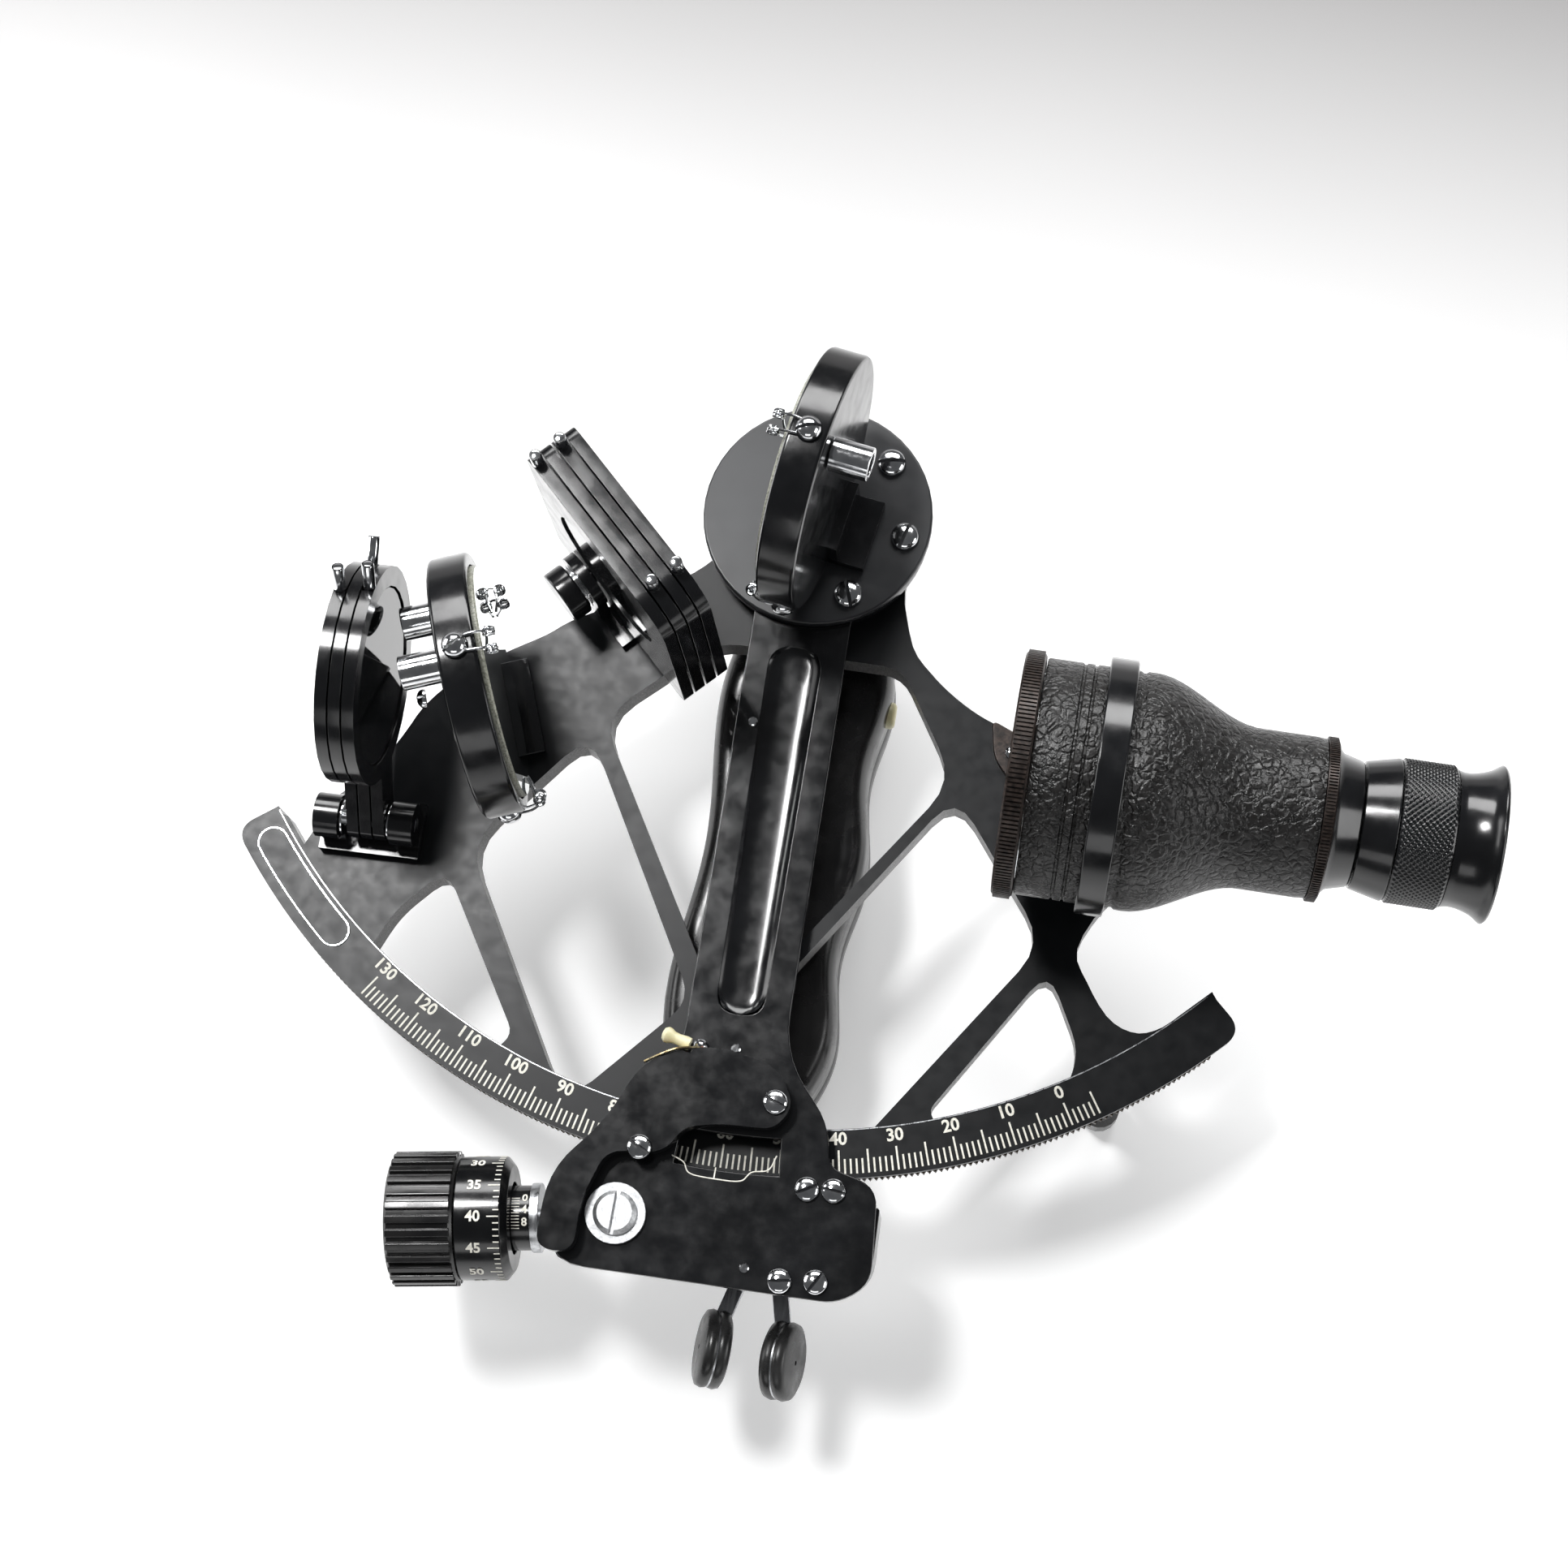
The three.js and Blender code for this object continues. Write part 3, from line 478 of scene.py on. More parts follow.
def plain_material(name, colour, roughness, relief=None, **constants):
    """Three noises, each with its two ends: colours, roughnesses, and depth in mm with strength."""
    s = Surface(name, **constants)
    noise, *ends = colour
    s.colour(s.noise(*noise), *ends)
    noise, *ends = roughness
    s.roughness(s.noise(*noise), *ends)
    if relief:
        noise, *ends = relief
        s.relief(s.noise(*noise), *ends)
    return s.material


LOOK = {
    "casting": casting_material(),
    "gloss_black": enamel_material("gloss_black_enamel", 0.0035, 0.0065, 0.13, 0.24),
    "black_plastic": plain_material(
        "moulded_black_plastic", ((45,), (0.006, 0.006, 0.0065), (0.0125, 0.012, 0.012)),
        ((160, 5), 0.17, 0.33), ((2400, 3), 0.006, 0.15), Roughness=0.22, Specular_IOR_Level=0.5),
    "rubber": plain_material(
        "moulded_rubber", ((140, 4), (0.008, 0.008, 0.008), (0.03, 0.03, 0.03)),
        ((240, 5), 0.2, 0.42), ((520, 4), 0.05, 0.35), Roughness=0.32, Specular_IOR_Level=0.5),
    "leatherette": leather_material(),
    "knurled_ring": plain_material(
        "brown_black_anodising", ((900, 4), (0.012, 0.009, 0.008), (0.045, 0.032, 0.027)),
        ((500, 3), 0.3, 0.46), ((2400, 2), 0.01, 0.3), Roughness=0.38, Metallic=0.45),
    "steel": steel_material(),
    "chrome": plain_material(
        "polished_chrome", ((300, 3), (0.7, 0.71, 0.73), (0.86, 0.87, 0.88)),
        ((800, 4), 0.06, 0.17), ((3000, 2), 0.003, 0.2), Metallic=1.0, Roughness=0.1),
    "bronze": plain_material(
        "oiled_bronze", ((700, 5), (0.035, 0.027, 0.019), (0.12, 0.088, 0.052)),
        ((1200, 3), 0.32, 0.52), ((2600, 3), 0.01, 0.4), Metallic=1.0, Roughness=0.42),
    "mirror_glass": plain_material(
        "silvered_glass", ((40, 2), (0.80, 0.845, 0.825), (0.86, 0.885, 0.87)),
        ((160, 3), 0.01, 0.035), ((4000, 2), 0.001, 0.05), Metallic=1.0, Roughness=0.02),
    "clear_glass": plain_material(
        "coated_lens", ((30, 2), (0.86, 0.9, 0.92), (0.93, 0.95, 0.95)),
        ((300, 3), 0.0, 0.02), Roughness=0.02, Transmission_Weight=1.0, IOR=1.52),
    "shade_glass": plain_material(
        "dark_filter_glass", ((50, 2), (0.006, 0.007, 0.007), (0.011, 0.012, 0.012)),
        ((400, 3), 0.01, 0.05), Roughness=0.02, Specular_IOR_Level=0.6, IOR=1.52,
        Transmission_Weight=0.25),
    "ivory_plastic": plain_material(
        "aged_ivory_plastic", ((240, 4), (0.56, 0.52, 0.30), (0.74, 0.71, 0.50)),
        ((500, 3), 0.3, 0.5), ((1400, 3), 0.01, 0.3), Roughness=0.4, Subsurface_Weight=0.1,
        Subsurface_Scale=0.002),
}
# The ground rim of the mirror glass is greenish grey with a fine sparkle.
EDGE_GLASS = plain_material(
    "ground_glass_edge", ((1900, 4, 0.7), (0.12, 0.125, 0.10), (0.44, 0.44, 0.37)),
    ((900, 3), 0.25, 0.5), ((2600, 3), 0.02, 0.5), Roughness=0.4, Specular_IOR_Level=0.5)
# Cream paint is rubbed into the engraving.
FILL = plain_material(
    "cream_engraving_fill", ((900, 4, 0.6), (0.60, 0.58, 0.50), (0.86, 0.84, 0.76), 0.25, 0.6),
    ((900, 3), 0.5, 0.7), ((2800, 3), 0.02, 0.5), Roughness=0.6)
BRASS = plain_material(
    "worn_brass", ((500, 4), (0.52, 0.40, 0.20), (0.86, 0.74, 0.46)),
    ((900, 3), 0.18, 0.36), ((2200, 3), 0.01, 0.3), Metallic=1.0, Roughness=0.25)
COPPER = plain_material(
    "copper_wire", ((800, 4), (0.30, 0.09, 0.04), (0.66, 0.27, 0.14)),
    ((900, 3), 0.22, 0.42), Metallic=1.0, Roughness=0.3)
SATIN = enamel_material("satin_black_enamel", 0.012, 0.017, 0.34, 0.42)
# Face-turned steel has a soft, even shine.
TURNED_STEEL = plain_material(
    "face_turned_steel", ((1500, 4, 0.6), (0.50, 0.51, 0.52), (0.74, 0.75, 0.76)),
    ((900, 4), 0.42, 0.6), ((2600, 3), 0.006, 0.3), Metallic=1.0, Roughness=0.5)
# Painted shade for the floors of screw slots, standing in for the shade inside a slot.
SLOT_PAINTED_SHADE = enamel_material("slot_painted_shade", 0.01, 0.03, 0.5, 0.7)


# -------------------------------------------------------------------------- the CAD's own nodes
# Every node takes its slot's material, unless OWN_LOOK names another, and gets softened edges.
EDGE_WIDTH = {
    "frame_casting": 0.35, "micrometer_cover": 1.5, "index_arm": 0.55, "mirror_base_disc": 0.6,
    "micrometer_housing": 0.5, "telescope_bracket": 0.5, "index_mirror_frame": 0.4,
    "horizon_mirror_frame": 0.4, "handle_upper_shell": 1.4, "handle_lower_shell": 1.4,
    "horizon_shade_bracket": 0.5, "index_shade_bracket": 0.5, "carriage_pivot_screw": 0.25,
    "worm_rack": 0.0, "micrometer_knob": 0.3, "index_shade_knob": 0.5, "lamp_bulb": 0.4,
}
DEFAULT_EDGE = 0.25
FLAT_WITHIN = math.radians(0.6)
OWN_LOOK = {"mirror_base_disc": SATIN, "carriage_pivot_screw": TURNED_STEEL}


def dress_node(name, node, slot_name):
    mesh = node.data
    for extra in ("custom_normal", "sharp_edge", "sharp_face"):
        if extra in mesh.attributes:
            mesh.attributes.remove(mesh.attributes[extra])
    mesh.polygons.foreach_set("use_smooth", [True] * len(mesh.polygons))
    mesh.materials.clear()
    mesh.materials.append(OWN_LOOK.get(name, LOOK[slot_name]))
    weld = node.modifiers.new("weld", "WELD")
    weld.merge_threshold = 1e-6
    flat = node.modifiers.new("flat faces", "DECIMATE")
    flat.decimate_type = "DISSOLVE"
    flat.angle_limit = FLAT_WITHIN
    add_bevel(node, EDGE_WIDTH.get(name, DEFAULT_EDGE), 4 if name == "micrometer_cover" else 2)


for subpart in frame["record"]["subparts"]:
    dress_node(subpart["node"], frame["nodes"][subpart["node"]], subpart["material_slot"])


# ------------------------------------------------------------------------- graduated arc, plates
def mark_angle(mark):
    return -90 + (MARKS_AT_MIDDLE - mark) / 2


def graduations():
    """One tick a degree, longer every five, and a figure every ten."""
    for mark in range(-5, 131):
        inner = 156.3 if mark % 5 == 0 else 158.4
        yield turned(box(inner, TICK_OUTER, -0.22, 0.22, 0, ENGRAVING_DEPTH), mark_angle(mark))


def arc_figures():
    for mark in range(0, 131, 10):
        outward = flat_direction(mark_angle(mark))
        along = Vector((-outward.y, outward.x, 0))
        turn = Matrix((along, -outward, Vector((0, 0, 1)))).transposed().to_4x4()
        yield written(str(mark), 2.9, Matrix.Translation(outward * ARC_FIGURE_RADIUS) @ turn)


make("arc_graduations", joined(*graduations()), FILL, "frame", crease=30)
make("arc_figures", joined(*arc_figures()), FILL, "frame", crease=30)
# Painted highlight: a thin bright steel strip along the limb's inner edge stands in for the edge's highlight.
painted_edge_highlight = sector(LIMB_INNER + 0.1, LIMB_INNER + 0.35, -142.2, -42.8, 0, ENGRAVING_DEPTH)
make("arc_inner_painted_highlight", painted_edge_highlight, LOOK["steel"], "frame")


def badge_outline(inner, outer, start, end):
    """A bent plate with round ends, as an outline."""
    middle, half = (inner + outer) / 2, (outer - inner) / 2
    reach = math.degrees(half / middle)
    outline = arc(0, 0, outer, start + reach, end - reach, 30)
    x, y, _ = flat_direction(end - reach) * middle
    outline += arc(x, y, half, end - reach, end - reach + 180, 10)[1:-1]
    outline += arc(0, 0, inner, end - reach, start + reach, 30)
    x, y, _ = flat_direction(start + reach) * middle
    outline += arc(x, y, half, start + reach + 180, start + reach + 360, 10)[1:-1]
    return outline


make("badge_plate_rim", prism(badge_outline(152.6, 160.4, -141.2, -128.2), 0, 0.35),
     LOOK["chrome"], "frame", bevel=0.1)
make("badge_plate", prism(badge_outline(152.95, 160.05, -141.05, -128.35), 0.1, 0.5),
     LOOK["casting"], "frame", bevel=0.1)


# ------------------------------------------------------------------------------------- screws
def screw_part(radius, height, slot_width=0.7, shoulder=0.5):
    """A round-headed screw: a slotted dome on a low cheese-shaped shoulder."""
    rise = height - shoulder
    steps = 7
    turns = [i * math.pi / 2 / steps for i in range(steps)]
    dome = [[radius * math.cos(t), shoulder + rise * math.sin(t)] for t in turns]
    head = lathe([[0, shoulder * 0.4], [radius, shoulder * 0.4], *dome, [0, height]], 40)
    half = slot_width / 2
    right = clipped(head, (half, 0, 0), (-1, 0, 0))
    left = clipped(head, (-half, 0, 0), (1, 0, 0))
    neck, top = radius * 0.96, shoulder * 0.9
    base = lathe([[0, 0], [neck, 0], [neck, top], [0, top]], 40)
    return joined(right, left, base), len(base[1])


def screw(name, position, body, radius, height, spin, direction=(0, 0, 1)):
    where = placed(position, direction, (0, 0, 1), spin)
    part, dark = screw_part(radius, height, 0.26 * radius)
    make(name, part, LOOK["chrome"], body, where=where, crease=50, dark_faces=dark)


# Each group's name, foot height, radius and head height, then each screw's (x, y, slot's turn).
ARM_SCREWS = [
    ("disc_screw", DISC_TOP, 3.5, 2.4, [(16, 16, 100), (22.3, -2.7, 165), (10.9, -19.4, 20)]),
    ("cover_screw", COVER_TOP, 2.9, 1.8, [(14.8, -146.0, 70), (-14.8, -161.4, 65)]),
    ("foot_screw", ARM_TOP, 2.9, 1.9, [(25.1, -164.2, 120), (31.3, -163.6, 85),
                                       (22.3, -186.1, 100), (30.6, -185.0, 150)]),
]
for name, foot_height, radius, height, screws in ARM_SCREWS:
    for i, (x, y, spin) in enumerate(screws):
        screw(f"{name}_{i + 1}", (x, y, foot_height), "index_arm", radius, height, spin)


def rivet_part(radius, height):
    return lathe([[0, 0], [radius, 0], [radius, height * 0.5], [radius * 0.75, height],
                  [radius * 0.35, height], [radius * 0.3, height * 0.5], [0, height * 0.5]], 24)


for i, (x, y) in enumerate([(-7.0, -54.2), (2.9, -134.2), (13.7, -184.4)]):
    make(f"arm_pin_{i + 1}", rivet_part(1.15, 0.5), LOOK["chrome"], "index_arm",
         where=placed((x, y, ARM_TOP)))

for i, (x, y) in enumerate([(-27.5, -187.2), (-21.3, -187.8)]):
    screw(f"housing_screw_{i + 1}", (x, y, -3.5), "index_arm", 2.3, 1.5, 60, (-0.05, -1, 0))


# -------------------------------------------------------------------- mirrors and their spring clips
CLIP_WIRE = 0.32


def coil(centre, axis, radius, turns, length, start=0.0):
    """Points of a small helix about an axis."""
    where = placed(centre, axis)
    points = []
    steps = int(turns * 14)
    for i in range(steps + 1):
        angle = math.radians(start) + 2 * math.pi * turns * i / steps
        points.append(where @ Vector((radius * math.cos(angle), radius * math.sin(angle),
                                      length * (i / steps - 0.5))))
    return points


def clip_parts(turn):
    """One clip in the mirror's own frame: X across, Y up, Z out of the glass."""
    outward = flat_direction(turn)
    across = Vector((-outward.y, outward.x, 0))
    face = Vector((0, 0, 1))
    screw_at = outward * MIRROR_RADIUS - face * 4.6
    shaped, dark = screw_part(3.0, 3.1, 0.8, 0.6)
    head = moved(shaped, placed(screw_at, outward, (0, 0, 1), 25))
    wires = []
    for side in (-1, 1):
        foot = screw_at + across * side * 1.6 + outward * 0.5
        rim = outward * (MIRROR_RADIUS + 0.5) + across * side * 2.0 + face * 1.0
        eye = outward * (MIRROR_RADIUS - 1.5) + across * side * 2.1 + face * 3.2
        loop = coil(eye, across, 1.25, 2.4, 1.6 * side, 90)
        tip = outward * (GLASS_RADIUS - 3.6) + across * side * 0.7 + face * 1.6
        bow = (loop[-1] + tip) / 2 + face * 0.4
        wires.append(sweep([*smooth_path([foot, rim, loop[0]], 5)[:-1], *loop], CLIP_WIRE))
        wires.append(sweep(smooth_path([loop[-1], bow, tip], 5), CLIP_WIRE))
    return head, dark, joined(*wires)


# The mirror's round housing as [radius, height above its front].
CUP = [[0, -9.3], [30.0, -9.3], [30.7, -9.0], [31.0, -8.3], [31.0, -0.9], [30.75, -0.3], [30.2, 0],
       [28.1, 0], [27.9, -0.2], [27.9, -4.2], [22, -4.2], [22, -6.9], [0, -6.9]]


def cup_part(label):
    """The round housing of a mirror with its foot, in the mirror's own frame."""
    cup = lathe(CUP, 160)
    if label == "index":
        low = DISC_TOP + 0.3 - AXIS_HEIGHT
        cup = clipped(cup, (0, low, 0), (0, -1, 0))
        return joined(cup, box(-9, 9, low, -20, -11.8, -8.3), box(-9, 9, low, low + 2.6, -18.3, -8.3))
    low = 0.3 - AXIS_HEIGHT
    return joined(cup, box(-7, 7, low, -28, -8.8, -2), box(-7.5, 17, low, low + 2, -14.3, 4.5))


MIRRORS = [("index", INDEX_FACE, INDEX_NORMAL, "index_arm"),
           ("horizon", HORIZON_FACE, HORIZON_NORMAL, "frame")]
for label, face_at, normal, body in MIRRORS:
    where = placed(face_at, flat_direction(normal))
    for i, turn in enumerate((90, 210, 330)):
        head, dark, wires = clip_parts(turn)
        make(f"{label}_clip_screw_{i + 1}", head, LOOK["chrome"], body, where=where,
             crease=50, dark_faces=dark)
        make(f"{label}_clip_wire_{i + 1}", wires, LOOK["chrome"], body, where=where)
    make(f"{label}_mirror_cup", cup_part(label), LOOK["gloss_black"], body,
         (f"{label}_mirror_frame",), where, crease=40, bevel=0.25)
    pane = lathe([[0, 1.0], [GLASS_RADIUS - 0.5, 1.0], [GLASS_RADIUS - 0.4, 1.08], [0, 1.08]])
    make(f"{label}_mirror_face", pane, LOOK["mirror_glass"], body, where=where)
    core = GLASS_RADIUS - 1.0
    rim = ring_of([[core, -3.8], [GLASS_RADIUS, -3.8], [GLASS_RADIUS, 0.7],
                   [GLASS_RADIUS - 0.45, 1.05], [core, 1.05]])
    disc = lathe([[0, -3.9], [core, -3.9], [core, 1.0], [0, 1.0]])
    make(f"{label}_mirror_glass_body", joined(rim, disc), EDGE_GLASS, body,
         replaces=(f"{label}_mirror_glass",), where=where)


# ------------------------------------------------------------------------------------- telescope
# Profiles are [radius, x], because the local Z runs along the telescope from the pivot's x.
ALONG = placed((0, TELESCOPE_Y, AXIS_HEIGHT), (1, 0, 0))

front_ring = ring_of([[24.4, 57.2], [27.6, 57.2], [28.1, 57.6], [28.1, 61.6], [27.6, 62.0],
                      [24.4, 62.0]], 180)
front_ribs = around(box(27.9, 28.66, -0.3, 0.3, 57.7, 61.5), 170)
make("objective_ring_knurled", joined(front_ring, *front_ribs), LOOK["knurled_ring"], "frame",
     ("objective_ring",), ALONG)


def barrel_radius(x):
    """The barrel's taper from its wide front to its narrow rear."""
    t = min(max((x - 87) / 25, 0), 1)
    return 27.4 - 9.0 * t * t * (3 - 2 * t)


def barrel_part():
    """The leather cover with its seam grooves, round a thin tube."""
    outside = [[24.5, 62.3], [27.0, 62.3], [27.3, 62.7]]
    for seam in (70.9, 73.4):
        outside += [[27.3, seam - 0.5], [26.9, seam - 0.2], [26.9, seam + 0.2], [27.3, seam + 0.5]]
    outside += [[27.35, 83.5], [26.9, 84.2], [26.9, 84.7], [27.35, 85.3]]
    outside += [[barrel_radius(x), x] for x in range(87, 127, 2)]
    outside += [[18.2, 127.0], [15.0, 127.2]]
    return ring_of([*outside, [12, 126.5], [16, 116], [24.4, 86]], 160)


make("telescope_barrel_leather", barrel_part(), LOOK["leatherette"], "frame",
     ("telescope_barrel",), ALONG, crease=50)
rear_ring = ring_of([[15, 127.2], [18.5, 127.2], [18.5, 129.5], [18.0, 129.8], [15, 129.8]], 160)
rear_ribs = around(box(18.3, 18.88, -0.16, 0.16, 127.4, 129.4), 150)
make("rear_knurled_ring", joined(rear_ring, *rear_ribs), LOOK["knurled_ring"], "frame",
     where=ALONG)
neck_ring = ring_of([[11, 129.8], [17.2, 129.8], [15.6, 131.2], [14.4, 135.6], [14.0, 136.0],
                     [11, 136.0]])
make("barrel_neck", neck_ring, LOOK["gloss_black"], "frame", where=ALONG)


def knurled(angle, radius, height):
    """A diamond knurl on the grip's outside: two families of helical grooves."""
    if radius < 16.2:
        return radius
    twist = (height - 144.3) / 16.3
    a = abs(((KNURL_TEETH * (angle + twist)) / (2 * math.pi)) % 1 - 0.5)
    b = abs(((KNURL_TEETH * (angle - twist)) / (2 * math.pi)) % 1 - 0.5)
    return radius - 0.34 * max(0.0, 1 - 2.6 * min(a, b))


def focus_grip():
    rows = 72
    outside = [[16.55, 144.9 + 10.9 * i / rows] for i in range(rows + 1)]
    return ring_of([[10.5, 144.3], [16.0, 144.3], [16.15, 144.6], *outside, [16.15, 156.1],
                    [16.0, 156.4], [10.5, 156.4]], 528, knurled)


make("focus_grip_knurled", focus_grip(), LOOK["gloss_black"], "focus_grip",
     ("focus_ring",), ALONG, crease=60)


def eyecup_part():
    outer = smooth_path([(15.7, 0, 156.7), (15.3, 0, 158.6), (15.5, 0, 161), (16.5, 0, 164),
                         (17.7, 0, 165.8), (18.05, 0, 166.5), (17.6, 0, 167.1)], 5)
    inner = smooth_path([(17.6, 0, 167.1), (16.6, 0, 166.7), (14.6, 0, 164.9), (12.9, 0, 161.6),
                         (10.6, 0, 160.9)], 4)
    return ring_of([*[[p.x, p.z] for p in outer + inner[1:]], [10.6, 156.7]])


make("eyecup_flared", eyecup_part(), LOOK["gloss_black"], "focus_grip", ("eyecup",), ALONG,
     crease=50)


# ------------------------------------------------------------------------------------ micrometer
# Heights are along the worm from the outer end of its knob.
WORM = placed(KNOB_END, flat_direction(WORM_ANGLE))


def drum_angle(minute):
    """Where a minute of the drum stands, in degrees about the worm from the arc's side."""
    return 94 + (minute - 40) * 6


def on_drum(angle, radius, along):
    """A frame on a cylinder round the worm: X along the worm, Y against the turn, Z outward."""
    outward = flat_direction(angle)
    tangent = Vector((outward.y, -outward.x, 0))
    rotation = Matrix((Vector((0, 0, 1)), tangent, outward)).transposed().to_4x4()
    return Matrix.Translation(outward * radius + Vector((0, 0, along))) @ rotation


def drum_marks():
    """One tick a minute, longer every five."""
    for minute in range(60):
        start = -1.3 if minute % 5 == 0 else 0.1
        tick = box(start, 1.5, -0.14, 0.14, -0.05, 0.03)
        yield moved(tick, on_drum(drum_angle(minute), DRUM_RADIUS + 0.02, 28))


def drum_figures():
    for minute in range(0, 60, 5):
        yield written(str(minute), 2.45, on_drum(drum_angle(minute), DRUM_RADIUS + 0.04, 23.4))


make("drum_graduations", joined(*drum_marks()), FILL, "micrometer_drum", where=WORM)
make("drum_figures", joined(*drum_figures()), FILL, "micrometer_drum", where=WORM)


def vernier_angle(unit):
    return 59 + unit * 5.5


def tube(inner, outer, low, high, segments=96):
    return ring_of([[inner, low], [outer, low], [outer, high], [inner, high]], segments)


def vernier_marks():
    for unit in range(11):
        tick = box(-1.6, 0.3, -0.1, 0.1, -0.05, 0.03)
        yield moved(tick, on_drum(vernier_angle(unit), VERNIER_RADIUS + 0.02, 33))
    for unit in (0, 4, 8):
        yield written(str(unit), 1.9, on_drum(vernier_angle(unit), VERNIER_RADIUS + 0.04, 34.5))


make("vernier_graduations", joined(*vernier_marks()), FILL, "worm_carriage",
     where=WORM)
make("vernier_barrel", tube(2.5, VERNIER_RADIUS, 25.2, 35.6), LOOK["gloss_black"], "worm_carriage",
     ("vernier_sleeve",), WORM, bevel=0.15)
make("vernier_collar", tube(2.5, 8.25, 35.6, 37.8), LOOK["steel"], "worm_carriage",
     where=WORM, bevel=0.15)


def knob_part():
    """The ribbed grip: flat-topped ribs round a core with a rolled front edge."""
    core = ring_of([[3.0, 3.0], [12.2, 3.0], [12.4, 2.25], [14.2, 2.25], [15.0, 3.0], [15.0, 17.6],
                    [14.4, 18.45], [3.0, 18.45]], 120)
    outline = rounded([(14.5, -1.05, 0.1), (15.98, -0.9, 0.35), (15.98, 0.9, 0.35),
                       (14.5, 1.05, 0.1)], 3)
    return joined(core, *around(prism(outline, 2.9, 17.9), 30))


make("knob_ribbed", knob_part(), LOOK["black_plastic"], "micrometer_drum",
     ("micrometer_knob",), WORM, bevel=0.12)


def worm_part():
    """The shaft with a real thread on its worm."""
    shaft = lathe([[0, 18.9], [2.2, 18.9], [2.2, 94.5], [0, 94.5]], 48)
    tail = lathe([[0, 106.0], [2.2, 106.0], [2.2, 110.0], [0, 110.0]], 48)
    core = lathe([[0, 94.5], [2.2, 94.5], [5.2, 95.2], [5.2, 105.2], [2.2, 106.0], [0, 106.0]], 64)
    pitch, radius, turns = 1.42, 5.795, 6.6
    path = []
    steps = int(turns * 40)
    for i in range(steps + 1):
        angle = 2 * math.pi * turns * i / steps
        along = 95.6 + pitch * turns * i / steps
        path.append((radius * math.cos(angle), radius * math.sin(angle), along))
    return joined(shaft, tail, core, sweep(path, 0.62, 6))


make("worm_and_shaft", worm_part(), LOOK["steel"], "micrometer_drum", ("worm_shaft",), WORM,
     crease=45)

# The index: a thin engraved frame round the window's lower edge, with the reading line.
WINDOW_FRAME = [(-7.6, -161.4), (-4.6, -162.6), (-2.6, -165.0), (4.0, -165.3), (9.4, -164.8),
                (11.6, -162.4), (15.4, -161.2), (16.8, -157.6)]
window_line = sweep(smooth_path([(x, y, ARM_TOP) for x, y in WINDOW_FRAME], 6), 0.16)
make("window_frame_line", window_line, FILL, "index_arm")
index_line = box(2.95, 3.25, -165.2, -162.6, ARM_TOP - 0.02, ARM_TOP + ENGRAVING_DEPTH)
make("index_line", index_line, FILL, "index_arm")

# ------------------------------------------------------------------------------------------ lamp
LAMP = placed((-7.4, -135.5, ARM_TOP + 3.2), (-1, 0.25, 0))
bulb = lathe([[0, 0.3], [1.5, 0.3], [1.6, 1.4], [1.35, 3.2], [1.45, 4.6], [1.9, 5.6], [1.95, 6.3],
              [1.4, 7.1], [0.6, 7.35], [0, 7.38]], 48)
make("lamp_bulb_glass", bulb, LOOK["ivory_plastic"], "index_arm", ("lamp_bulb",),
     LAMP)


def ribbon(path, half_width, half_thick):
    """A flat strip along a path, its width standing along Z."""
    vertices, faces = [], []
    for i, point in enumerate(path):
        ahead = (path[min(i + 1, len(path) - 1)] - path[max(i - 1, 0)]).normalized()
        side = ahead.cross(Vector((0, 0, 1))).normalized() * half_thick
        for across, up in ((-1, -1), (1, -1), (1, 1), (-1, 1)):
            vertices.append(point + side * across + Vector((0, 0, half_width * up)))
    for i in range(len(path) - 1):
        for k in range(4):
            j = (k + 1) % 4
            faces.append([4 * i + k, 4 * i + j, 4 * i + 4 + j, 4 * i + 4 + k])
    faces.append([3, 2, 1, 0])
    last = 4 * (len(path) - 1)
    faces.append([last, last + 1, last + 2, last + 3])
    return vertices, faces


strip = smooth_path([(-17.5, -141.4, 10.6), (-13.6, -139.0, 11.4), (-9.6, -137.0, 11.6),
                     (-5.0, -136.0, 10.4)], 8)
make("lamp_contact_strip", ribbon(strip, 1.0, 0.16), BRASS, "index_arm")
lead = coil((-3.2, -136.6, 9.2), (1, -0.15, 0), 0.9, 5, 3.4)
make("lamp_lead", sweep(lead, 0.2), COPPER, "index_arm")
screw("lamp_contact_screw", (-5.4, -135.2, ARM_TOP), "index_arm", 1.9, 2.6, 40)

# ---------------------------------------------------------------------------------------- shades
def shaft_frame(joint, heading):
    """A local frame on a joint's place, with Z along a level heading."""
    return placed((Vector(JOINTS[joint]["pos_m"]) - PIVOT) / MM, flat_direction(heading))


HORIZON_SHAFT = shaft_frame("horizon_shade_1_swing", 2)
for i, (low, high) in enumerate(((-6.7, -6.1), (4.9, 5.3))):
    make(f"horizon_shade_washer_{i + 1}", tube(1.95, 4.4, low, high, 48), LOOK["chrome"], "frame",
         where=HORIZON_SHAFT, bevel=0.08)
for label, low, high in (("left", -13.15, -7.2), ("right", 5.75, 11.35)):
    cap = ring_of([[1.9, low], [4.9, low], [5.25, low + 0.4], [5.25, high - 0.9], [4.7, high - 0.7],
                   [4.7, high - 0.4], [5.1, high], [1.9, high]], 64)
    make(f"horizon_shade_collar_{label}", cap, LOOK["gloss_black"], "frame",
         where=HORIZON_SHAFT)

INDEX_SHAFT = shaft_frame("index_shade_1_swing", 46.5)
INDEX_WASHERS = ((-3.6, -3.35, 5.6), (-4.0, -3.75, 6.2), (-4.4, -4.15, 5.6))
for i, (low, high, radius) in enumerate(INDEX_WASHERS):
    make(f"index_shade_washer_{i + 1}", tube(2.3, radius, low, high, 64), LOOK["chrome"], "frame",
         where=INDEX_SHAFT)


def pin_part(radius, low, high):
    return lathe([[0, low], [radius, low], [radius, high - 0.45], [radius - 0.18, high - 0.12],
                  [radius - 0.5, high], [0, high]], 32)


